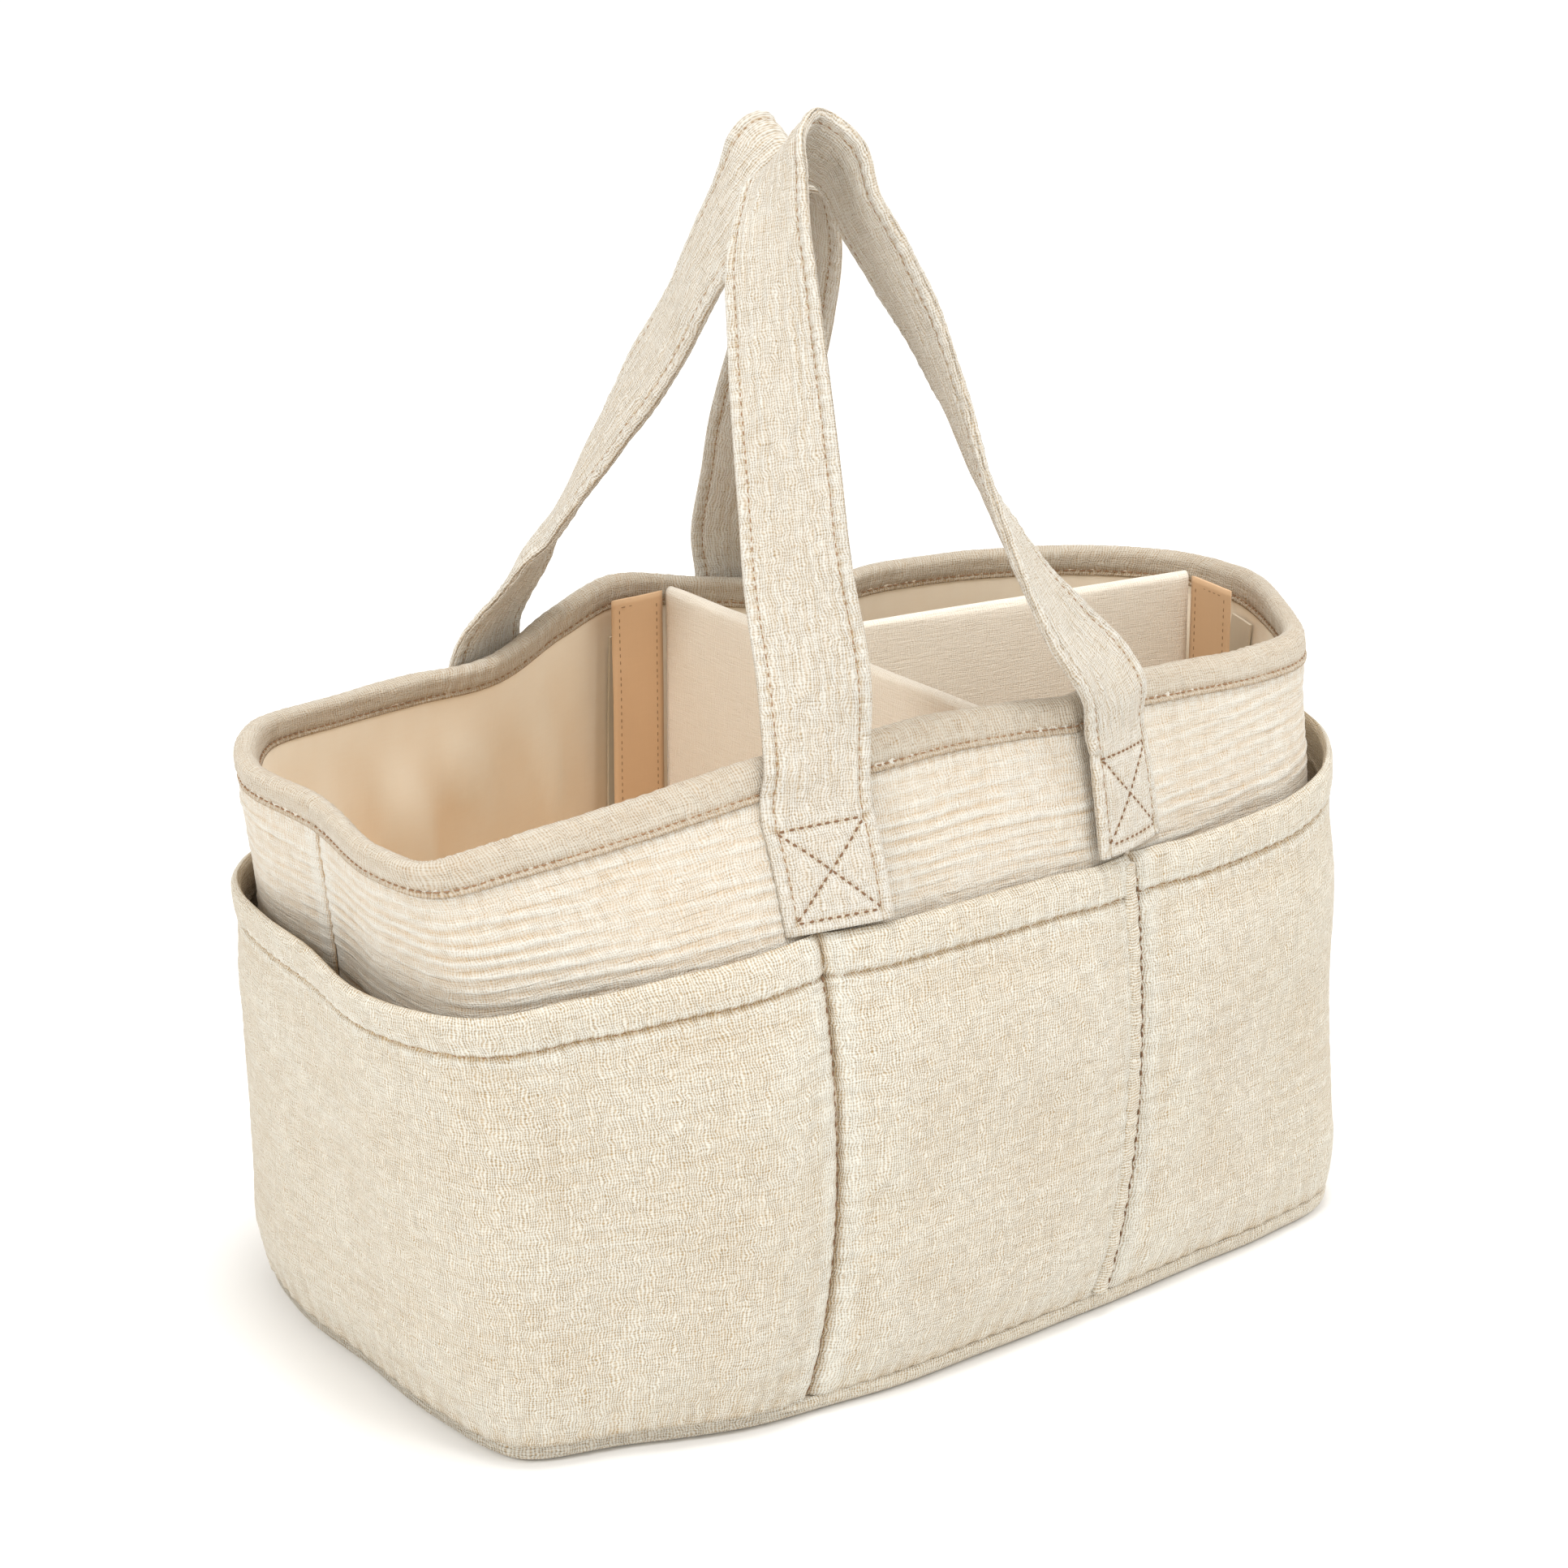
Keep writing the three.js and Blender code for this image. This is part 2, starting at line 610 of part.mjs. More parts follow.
// Where a panel's run from the junction meets the room on one side
function panelEnd(side, run, outward) {
  const wall = side === 'right' ? halfLength : halfDepth * outward;
  const nearWall = lerpTo(junction, run, (wall - junction[across[side]]) / run[across[side]]);
  const root = nearWall[sides[side].axis];
  const alongs = [-flapWidth, -flapWidth / 2, 0, panelThickness].map((shift) => root + shift);
  const face = flapFace(side, alongs, outward);
  const reach = (face - outward * (flapThickness + seatGap) - junction[across[side]]) / run[across[side]];
  return { face, end: lerpTo(junction, run, reach) };
}
const back = panelEnd('back', crossRun.clone().negate(), 1);
const front = panelEnd('front', crossRun, -1);
const right = panelEnd('right', longRun, 1);
const longStart = lerpTo(junction, longRun, panelThickness / 2 + panelRunningGap);

// Materials, one per finish
const finishes = {
  gauze: { color: 0xeee2cb, roughness: 0.95 },
  pocketGauze: { color: 0xeadfc8, roughness: 0.95 },
  webbing: { color: 0xece0ca, roughness: 0.95 },
  lining: { color: 0xecd6b4, roughness: 0.85 },
  binding: { color: 0xe2d2b8, roughness: 0.9 },
  foam: { color: 0xf2efe8, roughness: 1 },
  board: { color: 0xb9a283, roughness: 0.9 },
  dividerCloth: { color: 0xe6dac0, roughness: 0.9 },
  tape: { color: 0xeadcc4, roughness: 1 },
};
const caddy = new THREE.Group();
function addPiece(name, geometry, finish) {
  const material = new THREE.MeshStandardMaterial({ ...finishes[finish], metalness: 0 });
  const mesh = new THREE.Mesh(geometry, material);
  mesh.name = name;
  caddy.add(mesh);
}

// Base
addPiece('base_panel', basePlate([
  [baseRound, 0], [baseRound / 4, baseSkin / 2], [0, baseSkin + baseRound / 4], [0, baseBand],
  [baseRimWidth, baseBand], [baseRimWidth, baseSkin],
]), 'pocketGauze');
const boardFoot = baseSkin + seatGap;
const floorFoot = boardFoot + boardThickness + seatGap;
const plateInset = baseRimWidth + seatGap;
addPiece('base_board', basePlate([[plateInset, boardFoot], [plateInset, boardFoot + boardThickness]]), 'board');
addPiece('lining_floor', basePlate([[plateInset, floorFoot], [plateInset, floorFoot + floorThickness]]), 'lining');

// Walls
const paddingFace = outerThickness + seatGap;
const liningFace = paddingFace + paddingThickness + seatGap;
addPiece('outer_wall_front', wallPanel(leftEndSeam, rightEndSeam, 0, outerThickness), 'gauze');
addPiece('outer_wall_back', wallPanel(rightEndSeam, stationCount, 0, outerThickness), 'gauze');
['front', 'right_end', 'back', 'left_end'].forEach((place, i) => {
  const from = paddingCorners[i];
  const to = paddingCorners[(i + 1) % 4] + (i === 3 ? stationCount : 0);
  addPiece(`padding_${place}`, wallPanel(from, to, paddingFace, paddingFace + paddingThickness), 'foam');
});
addPiece('lining_wall', wallRing(liningFace, liningFace + liningThickness), 'lining');
addPiece('rim_binding', rimBinding(), 'binding');

// Pockets
addPiece('pocket_left', pocketPanel(backLeftSeam - stationCount, frontLeftSeam), 'pocketGauze');
addPiece('pocket_front', pocketPanel(frontLeftSeam, frontRightSeam), 'pocketGauze');
addPiece('pocket_right', pocketPanel(frontRightSeam, backRightSeam), 'pocketGauze');
addPiece('pocket_back', pocketPanel(backRightSeam, backLeftSeam), 'pocketGauze');

// Handles
Object.entries(handles).forEach(([place, handle]) => {
  addPiece(`${place}_handle`, handleLoop(handle), 'webbing');
  ['left', 'right'].forEach((end, i) => {
    const centre = handle.tabCentreShares[i] * handleHalfSpan;
    addPiece(`${place}_handle_tab_${end}`, handleTab(handle, centre), 'webbing');
  });
});

// Divider panels, a board in each folded cover
const boardGap = coverThickness + seatGap;
const boardWidth = panelThickness - 2 * boardGap;
[['cross', back.end, front.end], ['long', longStart, right.end]].forEach(([name, start, end]) => {
  const run = new THREE.Vector3().subVectors(end, start).normalize();
  addPiece(`divider_${name}_cover`, sleeve(start, end, floorTop, dividerTop), 'dividerCloth');
  addPiece(`divider_${name}_board`, standingPlate(lerpTo(start, run, boardInset), lerpTo(end, run, -boardInset),
    boardWidth, floorTop, dividerTop - boardGap), 'board');
});

// Flaps. Each hangs on a panel's end beside the lining, with hooks on its back,
// and meets a loop strip that is sewn to the lining.
function flapSet(place, root, along, outward, side) {
  const half = flapThickness / 2;
  const face = lerpTo(root, outward, -half);
  const flapEnd = lerpTo(face, along, flapWidth);
  addPiece(`${place}_flap`, standingPlate(face, flapEnd, flapThickness, flapFoot, flapTop), 'lining');
  const hookPlane = lerpTo(root, outward, seatGap + tapeThickness / 2);
  const hookStart = lerpTo(hookPlane, along, flapWidth - tapeInset - tapeWidth);
  const hookEnd = lerpTo(hookPlane, along, flapWidth - tapeInset);
  addPiece(`${place}_flap_hooks`, standingPlate(hookStart, hookEnd, tapeThickness, tapeFoot, tapeTop), 'tape');
  const axis = sides[side].axis;
  const ends = [hookStart[axis], hookEnd[axis]].sort((a, b) => a - b);
  addPiece(`${place}_lining_loops`, skinStrip(side, ends[0], ends[1], tapeFoot, tapeTop,
    wallThickness + tapeGap, wallThickness + tapeGap + tapeThickness, 2, 6), 'tape');
}
const flapRootGap = panelThickness / 2 + seatGap;
const toLeft = new THREE.Vector3(-1, 0, 0);
const toFront = new THREE.Vector3(0, -1, 0);
const toBack = new THREE.Vector3(0, 1, 0);
const toRight = new THREE.Vector3(1, 0, 0);
flapSet('back', new THREE.Vector3(back.end.x - flapRootGap, back.face, 0), toLeft, toBack, 'back');
flapSet('front', new THREE.Vector3(front.end.x - flapRootGap, front.face, 0), toLeft, toFront, 'front');
flapSet('right', new THREE.Vector3(right.face, right.end.y - flapRootGap, 0), toFront, toRight, 'right');

// The origin sits under the middle of the finished caddy
const extent = new THREE.Box3().setFromObject(caddy);
const middle = extent.getCenter(new THREE.Vector3());
caddy.children.forEach((mesh) => mesh.geometry.translate(-middle.x, -middle.y, -extent.min.z));

export default caddy;
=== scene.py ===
"""Looks of the soft caddy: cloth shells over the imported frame, camera and light."""

import json
import math

import bpy
import numpy as np
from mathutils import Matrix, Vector


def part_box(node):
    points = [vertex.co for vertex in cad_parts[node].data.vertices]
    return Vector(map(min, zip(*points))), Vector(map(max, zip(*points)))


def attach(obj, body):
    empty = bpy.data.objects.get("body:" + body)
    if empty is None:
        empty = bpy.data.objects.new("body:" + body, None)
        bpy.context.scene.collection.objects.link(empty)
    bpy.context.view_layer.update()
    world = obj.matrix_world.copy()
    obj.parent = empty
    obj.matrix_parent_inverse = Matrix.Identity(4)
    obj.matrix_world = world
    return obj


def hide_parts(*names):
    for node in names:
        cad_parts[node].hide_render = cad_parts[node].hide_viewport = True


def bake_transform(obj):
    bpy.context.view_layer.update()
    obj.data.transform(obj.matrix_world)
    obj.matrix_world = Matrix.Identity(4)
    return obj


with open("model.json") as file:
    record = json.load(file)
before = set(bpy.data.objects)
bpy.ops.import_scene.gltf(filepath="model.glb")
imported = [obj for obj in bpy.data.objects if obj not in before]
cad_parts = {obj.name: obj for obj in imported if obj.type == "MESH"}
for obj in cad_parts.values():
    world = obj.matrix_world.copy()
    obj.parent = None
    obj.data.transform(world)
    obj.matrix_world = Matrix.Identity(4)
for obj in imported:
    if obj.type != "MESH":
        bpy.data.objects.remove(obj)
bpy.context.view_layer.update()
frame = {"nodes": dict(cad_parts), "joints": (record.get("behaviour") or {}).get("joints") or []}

# Body, as the CAD source has it, in millimetres
HALF_LENGTH, HALF_DEPTH, HEIGHT = 190.0, 111.0, 219.0
WALL_BULGE, LEAN_POWER, RIM_TUG, TUG_POWER = 4.0, 3.0, 6.0, 3.0
SEAT, OUTER_T, PAD_T, LINING_T = 0.3, 2.0, 2.6, 1.2
WALL_T = OUTER_T + PAD_T + LINING_T + 2 * SEAT
BINDING_T, BINDING_DROP, BINDING_ROUND = 1.2, 11.0, 3.5
BINDING_OUT = 1.5
BASE_BAND, BASE_SKIN = 7.7, 3.0
FOOT = BASE_BAND + SEAT
TOP_DROP = BINDING_ROUND + 2 * SEAT
POCKET_T, POCKET_GAP, POCKET_TOP, POCKET_GAPE, GAPE_POWER = 3.0, 0.8, 171.0, 9.5, 1.4
SEAM_CURL, SEAM_CURL_POWER = 0.33, 4.0
STRAP_W, STRAP_T = 38.0, 6.0
HALF_SPAN, TAB_HEIGHT, TAB_DROP, TAB_GAP, HANDLE_TOP = 60.0, 39.0, 17.0, 0.9, 412.0
BASE_SHARES = [
    (-1.003, 0.0), (-1.003, -0.4), (-0.953, -0.784), (-0.753, -0.914), (-0.558, -1.027),
    (-0.363, -1.056), (-0.221, -1.068), (-0.047, -1.05), (0.126, -1.03), (0.329, -1.0),
    (0.52, -0.962), (0.726, -0.923), (0.905, -0.829), (0.995, -0.45), (1.005, 0.0),
    (1.0, 0.432), (0.921, 0.793), (0.732, 0.946), (0.526, 1.005), (0.29, 1.05),
    (0.132, 1.075), (-0.042, 1.085), (-0.21, 1.07), (-0.384, 1.035), (-0.553, 0.99),
    (-0.732, 0.95), (-0.932, 0.811), (-1.003, 0.432)]
RIM_SHARES = [
    (-1.074, -0.027, 0.995), (-1.097, -0.43, 0.99), (-1.05, -0.65, 0.989), (-0.885, -0.705, 1.002),
    (-0.642, -0.721, 1.018), (-0.363, -0.746, 1.041), (-0.2, -0.788, 1.048), (-0.026, -0.779, 1.048),
    (0.142, -0.784, 1.041), (0.329, -0.79, 1.041), (0.52, -0.73, 1.027), (0.747, -0.667, 1.005),
    (0.916, -0.565, 0.995), (1.03, -0.245, 0.995), (1.079, 0.04, 0.995), (1.053, 0.342, 0.991),
    (0.926, 0.63, 0.984), (0.737, 0.847, 0.977), (0.547, 0.91, 0.979), (0.347, 0.895, 0.984),
    (0.147, 0.99, 1.007), (-0.042, 1.083, 1.027), (-0.221, 1.0, 1.007), (-0.4, 0.892, 0.975),
    (-0.563, 0.892, 0.972), (-0.753, 0.842, 0.977), (-0.958, 0.712, 0.991), (-1.084, 0.378, 0.995)]
BULGE_SHARES = [0.6, 0.8, 0.4, 0.4, 0.6, 0.6, 0.6, 0.6, 0.6, 0.6, 0.3, -0.8, -1.9, -0.8, 0.6,
                0.6, -0.4, 0.4, 1.0, 1.0, 1.0, 1.0, 1.0, 1.0, 1.0, 0.4, -0.4, 0.2]
TUG_START, TUG_SHARES = 7.5, [0, 0.1, 1, 0.25, -0.35, 0]
GAPE_SHARES = [0.9, 1.0, 0.75, 0.5, 0.28, 0.0, 0.14, 0.2, 0.14, 0.0, 0.3, 0.35, 0.4, 0.8, 0.9,
               0.8, 0.5, 0.3, 0.2, 0.0, 0.14, 0.2, 0.14, 0.0, 0.14, 0.14, 0.2, 0.5]
CURL_SHARES = [0, 0, 0, 0, 0.5, 1, 1, 1, 1, 1, 0.5] + [0] * 17
POCKET_TOP_SHARES = [0.985, 0.98, 0.985, 0.99, 1.0, 1.01, 1.012, 1.01, 1.008, 1.0, 0.99, 0.985, 1.0,
                     1.01, 1.0, 0.98, 0.95, 0.925, 0.905, 0.9, 0.9, 0.9, 0.9, 0.9, 0.905, 0.925,
                     0.95, 0.975]
COUNT = len(BASE_SHARES)


# Smooth curves and tables
def spline(points, t, closed):
    """Centripetal curve through points, at parameters t counted in points."""
    points = np.asarray(points, float)
    n = len(points)
    if closed:
        i = np.floor(t).astype(int)
        ring = [points[(i + k) % n] for k in (-1, 0, 1, 2)]
    else:
        i = np.clip(np.floor(t).astype(int), 0, n - 2)
        padded = np.vstack([2 * points[0] - points[1], points, 2 * points[-1] - points[-2]])
        ring = [padded[i + k] for k in range(4)]
    gaps = [np.maximum(np.sum((ring[k + 1] - ring[k]) ** 2, -1), 1e-9) ** 0.25 for k in range(3)]
    d0, d1, d2 = [g[..., None] for g in gaps]
    p0, p1, p2, p3 = ring
    w = (t - i)[..., None]
    m1 = ((p1 - p0) / d0 - (p2 - p0) / (d0 + d1) + (p2 - p1) / d1) * d1
    m2 = ((p2 - p1) / d1 - (p3 - p1) / (d1 + d2) + (p3 - p2) / d2) * d1
    return (p1 + m1 * w + (-3 * p1 + 3 * p2 - 2 * m1 - m2) * w ** 2
            + (2 * p1 - 2 * p2 + m1 + m2) * w ** 3)


def table(shares, station):
    """A periodic share table, smooth between its stations."""
    v = np.asarray(shares, float)
    i = np.floor(station).astype(int)
    w = station - i
    a, b = v[i % COUNT], v[(i + 1) % COUNT]
    return a + (b - a) * w * w * (3 - 2 * w)


def unit(vectors):
    return vectors / np.linalg.norm(vectors, axis=-1, keepdims=True)


def lengths_along(points):
    """Length from the first point of a line to each of its points."""
    return np.concatenate([[0], np.cumsum(np.linalg.norm(np.diff(points, axis=0), axis=1))])


def line_at(points, own, places):
    """Points of a line at some places; own says where its own points are."""
    return np.stack([np.interp(places, own, points[:, k]) for k in range(3)], -1)


BASE = [(x * HALF_LENGTH, y * HALF_DEPTH, 0) for x, y in BASE_SHARES]
RIM = [(x * HALF_LENGTH, y * HALF_DEPTH, z * HEIGHT) for x, y, z in RIM_SHARES]


def outline(station, share, inset, z):
    """Outline of the body, as the source lays it, moved inwards by inset."""
    given = [np.asarray(v, float) for v in (station, share, inset, z)]
    station, share, inset, z = np.broadcast_arrays(*given)
    step = 1e-3
    lean = np.sign(share) * np.abs(share) ** LEAN_POWER
    low, high = spline(BASE, station, True), spline(RIM, station, True)
    along = [unit(spline(c, station + step, True) - spline(c, station - step, True)) for c in (BASE, RIM)]
    point = low + (high - low) * lean[..., None]
    tangent = along[0] + (along[1] - along[0]) * lean[..., None]
    place = (station - TUG_START) * 2
    tug = np.interp(place, range(len(TUG_SHARES)), TUG_SHARES, left=0, right=0)
    out = (WALL_BULGE * table(BULGE_SHARES, station) * np.sin(math.pi * share)
           + RIM_TUG * tug * np.maximum(share, 0) ** TUG_POWER - inset)
    out = out / np.hypot(tangent[..., 0], tangent[..., 1])
    x, y = point[..., 0] + tangent[..., 1] * out, point[..., 1] - tangent[..., 0] * out
    return np.stack([x, y, z], -1)


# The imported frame's origin is under the middle of the whole; the outline's isn't
own = outline(np.linspace(0, COUNT, 2241), 0, 0, 0)
panel_low, panel_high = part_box("base_panel")
SHIFT = np.array([(panel_low[i] + panel_high[i]) * 500 - (own[:, i].min() + own[:, i].max()) / 2
                  for i in (0, 1)] + [0.0])


def rim_height(station):
    return spline(RIM, np.asarray(station, float), True)[..., 2]


def wall(station, z, depth):
    """Point of the wall at a height, depth measured inwards from its outer face."""
    share = (z - FOOT) / (rim_height(station) - TOP_DROP - FOOT)
    inset = (POCKET_GAP + POCKET_T) * (1 - share) + BINDING_OUT * share
    return outline(station, share, inset + depth, z) + SHIFT


# Length round the body at every station, measured at one height
AROUND = 150.0
STATIONS = np.linspace(0, COUNT, 2801)
LENGTHS = lengths_along(wall(STATIONS, AROUND, 0.0))
STITCH_STEP = 0.8
TOTAL = LENGTHS[-1]


def length_at(station):
    turns = np.floor(station / COUNT)
    return np.interp(station - turns * COUNT, STATIONS, LENGTHS) + turns * TOTAL


def stations_between(start, end, step):
    a, b = length_at(np.array([start, end], float))
    n = max(2, int(round((b - a) / step)) + 1)
    s = np.linspace(a, b, n)
    turns = np.floor(s / TOTAL)
    return np.interp(s - turns * TOTAL, LENGTHS, STATIONS) + turns * COUNT, s


# Value noise, the same in every run
def lattice(ix, iy, seed):
    h = (ix.astype(np.int64) * 374761393 + iy.astype(np.int64) * 668265263 + seed * 974711) & 0xFFFFFFFF
    h = ((h ^ (h >> 13)) * 1274126177) & 0xFFFFFFFF
    return ((h ^ (h >> 16)) & 0xFFFF) / 32767.5 - 1


def noise(x, y, seed):
    x, y = np.broadcast_arrays(np.asarray(x, float), np.asarray(y, float))
    ix, iy = np.floor(x), np.floor(y)
    fx, fy = x - ix, y - iy
    fx, fy = [f * f * f * (f * (f * 6 - 15) + 10) for f in (fx, fy)]
    n00, n10 = lattice(ix, iy, seed), lattice(ix + 1, iy, seed)
    n01, n11 = lattice(ix, iy + 1, seed), lattice(ix + 1, iy + 1, seed)
    return (n00 * (1 - fx) + n10 * fx) * (1 - fy) + (n01 * (1 - fx) + n11 * fx) * fy


def crinkle(along, across, pitch, seed, length=40.0):
    """Long broken ridges that run along one way, a pitch apart across it, 0 to 1."""
    phase = 2 * math.pi * across / pitch
    phase = phase + 2.4 * noise(along / length, across / (pitch * 6), seed)
    phase = phase + 1.1 * noise(along / (length * 0.3), across / (pitch * 1.7), seed + 1)
    ridge = (0.5 + 0.5 * np.cos(phase)) ** 1.3
    live = 0.55 + 0.6 * noise(along / (length * 0.8), across / (pitch * 1.3), seed + 2)
    return ridge * np.clip(live, 0.05, 1.0)


def ease(x):
    x = np.clip(x, 0, 1)
    return x * x * (3 - 2 * x)


def bell(x):
    return np.exp(-x ** 2)


def waves(along, period, drift):
    return np.cos(2 * math.pi * along / period + drift)


def hollows(out, reach, scale):
    """0 to 1 where a surface lies in a furrow: below the mean of what is round it."""
    mean = out
    for axis in (0, 1):
        width = [(reach, reach) if k == axis else (0, 0) for k in (0, 1)]
        wide = np.pad(mean, width, mode="edge")
        total = np.concatenate([np.zeros_like(np.take(wide, [0], axis)), np.cumsum(wide, axis)], axis)
        n = mean.shape[axis]
        mean = (np.take(total, np.arange(2 * reach + 1, 2 * reach + 1 + n), axis)
                - np.take(total, np.arange(n), axis)) / (2 * reach + 1)
    return np.clip((mean - out) / scale, -0.5, 1.0)


# Meshes
def paint_shade(obj, outer, inner=None):
    """Store how much painted shade each point of a loft gets, such as how deep it lies in a furrow; the
    cloth is drawn warmer and darker there.
    """
    inner = np.zeros_like(outer) if inner is None else inner
    values = np.concatenate([outer, inner[:, ::-1]], 1).ravel()
    layer = obj.data.attributes.new("painted_shade", "FLOAT", "POINT")
    layer.data.foreach_set("value", values.astype(np.float32))
    return obj


def make(name, points, faces, uv=None):
    mesh = bpy.data.meshes.new(name)
    points = np.asarray(points, float).reshape(-1, 3) * 0.001
    faces = np.asarray(faces)
    mesh.vertices.add(len(points))
    mesh.vertices.foreach_set("co", points.astype(np.float32).ravel())
    mesh.loops.add(faces.size)
    mesh.loops.foreach_set("vertex_index", faces.ravel().astype(np.int32))
    mesh.polygons.add(len(faces))
    mesh.polygons.foreach_set("loop_start", np.arange(0, faces.size, faces.shape[1], dtype=np.int32))
    mesh.polygons.foreach_set("use_smooth", np.ones(len(faces), bool))
    mesh.update(calc_edges=True)
    if uv is not None:
        layer = mesh.uv_layers.new(name="UVMap")
        flat = np.asarray(uv, float).reshape(-1, 2) * 0.001
        layer.data.foreach_set("uv", flat.astype(np.float32).ravel())
    mesh.validate()
    obj = bpy.data.objects.new(name, mesh)
    bpy.context.scene.collection.objects.link(obj)
    return obj


def loft(name, grid, round_u):
    """Closed skin over a grid of points: grid[u] is a closed section."""
    nu, nv = grid.shape[:2]
    last = nu if round_u else nu - 1
    i, j = np.meshgrid(np.arange(last), np.arange(nv), indexing="ij")
    i, j = i.ravel(), j.ravel()
    i2, j2 = (i + 1) % nu, (j + 1) % nv
    faces = np.stack([i * nv + j, i2 * nv + j, i2 * nv + j2, i * nv + j2], 1)
    mid, ring = grid[:, nv // 4], grid[nu // 2]
    du, dv = [lengths_along(np.vstack([line, line[:1]])) for line in (mid, ring)]
    corners = (i, j), (i + 1, j), (i + 1, j + 1), (i, j + 1)
    uv = np.stack([np.stack([du[a], dv[b]], -1) for a, b in corners], 1)
    if round_u:
        return make(name, grid, faces, uv)
    k = np.arange(nv // 2 - 1)
    for row, way in ((0, 1), (nu - 1, -1)):
        base = row * nv
        quad = np.stack([base + k, base + k + 1, base + nv - 2 - k, base + nv - 1 - k][::way], 1)
        faces = np.concatenate([faces, quad])
        uv = np.concatenate([uv, np.stack([np.stack([np.zeros(len(k)), dv[k]], -1)] * 4, 1)])
    return make(name, grid, faces, uv)


def rows_to_section(outer, inner):
    """Section up the outer rows and down the inner ones, equal in number."""
    return np.concatenate([outer, inner[:, ::-1]], 1)


# A stitch: rings of points along it, each with its share of the length, lift and size
THREAD_SHAPE = [(0.0, -1.1, 0.35), (0.18, 0.0, 0.85), (0.5, 0.45, 1.0), (0.82, 0.0, 0.85),
                (1.0, -1.1, 0.35)]
THREAD_SIDES = 6
THREAD_ANGLES = (np.arange(THREAD_SIDES) * 2 * math.pi / THREAD_SIDES)[:, None]
LOOK = 0.2  # how far the direction of a line is measured each way


def thread_faces():
    """Faces of one stitch: its skin and the two closed ends."""
    last = (len(THREAD_SHAPE) - 1) * THREAD_SIDES
    k = np.arange(last)
    after = k - k % THREAD_SIDES + (k + 1) % THREAD_SIDES
    skin = np.stack([k, k + THREAD_SIDES, after + THREAD_SIDES, after], 1)
    cap = np.array([(0, 1, 2, 3), (0, 3, 4, 5)])
    return np.concatenate([skin, cap, cap[:, ::-1] + last])


def dashes(name, lines, pitch, long, radius, sink=0.25):
    """Stitches: short rounded threads along lines, each line (points, normals)."""
    threads = []
    for points, normals in lines:
        points, normals = np.asarray(points, float), np.asarray(normals, float)
        run = lengths_along(points)
        starts = np.arange(pitch * 0.3, run[-1] - long, pitch)
        starts = starts + noise(starts / pitch * 1.7, 3.1, 77) * 0.12 * pitch
        rings = []
        for share, lift, size in THREAD_SHAPE:
            s = starts + long * share
            n = unit(line_at(normals, run, s))
            t = line_at(points, run, s + LOOK) - line_at(points, run, s - LOOK)
            t /= np.maximum(np.linalg.norm(t, axis=1, keepdims=True), 1e-6)
            p = line_at(points, run, s) + n * (lift - sink) * radius
            rings.append(p[:, None] + radius * size * (np.cross(t, n)[:, None] * np.cos(THREAD_ANGLES)
                                                       + n[:, None] * np.sin(THREAD_ANGLES)))
        threads.append(np.stack(rings, 1))
    threads = np.concatenate(threads)
    firsts = np.arange(len(threads)) * len(THREAD_SHAPE) * THREAD_SIDES
    return make(name, threads, (firsts[:, None, None] + thread_faces()).reshape(-1, 4))


# Materials
def shader(name, colour, **sockets):
    m = bpy.data.materials.new(name)
    m.use_nodes = True
    tree = m.node_tree
    bsdf = tree.nodes["Principled BSDF"]
    bsdf.inputs["Base Color"].default_value = (*colour, 1)
    for key, value in sockets.items():
        bsdf.inputs[key.replace("_", " ")].default_value = value
    return m, tree, bsdf


def node(tree, kind, inputs=None, **settings):
    n = tree.nodes.new(kind)
    for key, value in settings.items():
        setattr(n, key, value)
    for key, value in (inputs or {}).items():
        socket = n.inputs[key]
        if isinstance(value, bpy.types.NodeSocket):
            tree.links.new(value, socket)
        else:
            socket.default_value = value
    return n


def sheet_noise(tree, vector, scale, detail=2.0, rough=0.5, stretch=(1, 1, 1)):
    mapped = node(tree, "ShaderNodeMapping", {"Vector": vector, "Scale": stretch})
    n = node(tree, "ShaderNodeTexNoise", {"Vector": mapped.outputs[0], "Scale": scale, "Detail": detail,
                                          "Roughness": rough})
    return n.outputs["Fac"]


def maths(tree, operation, a, b):
    return node(tree, "ShaderNodeMath", {0: a, 1: b}, operation=operation).outputs[0]


BAND = 314.16  # scale of the wave texture that puts its bands a millimetre apart


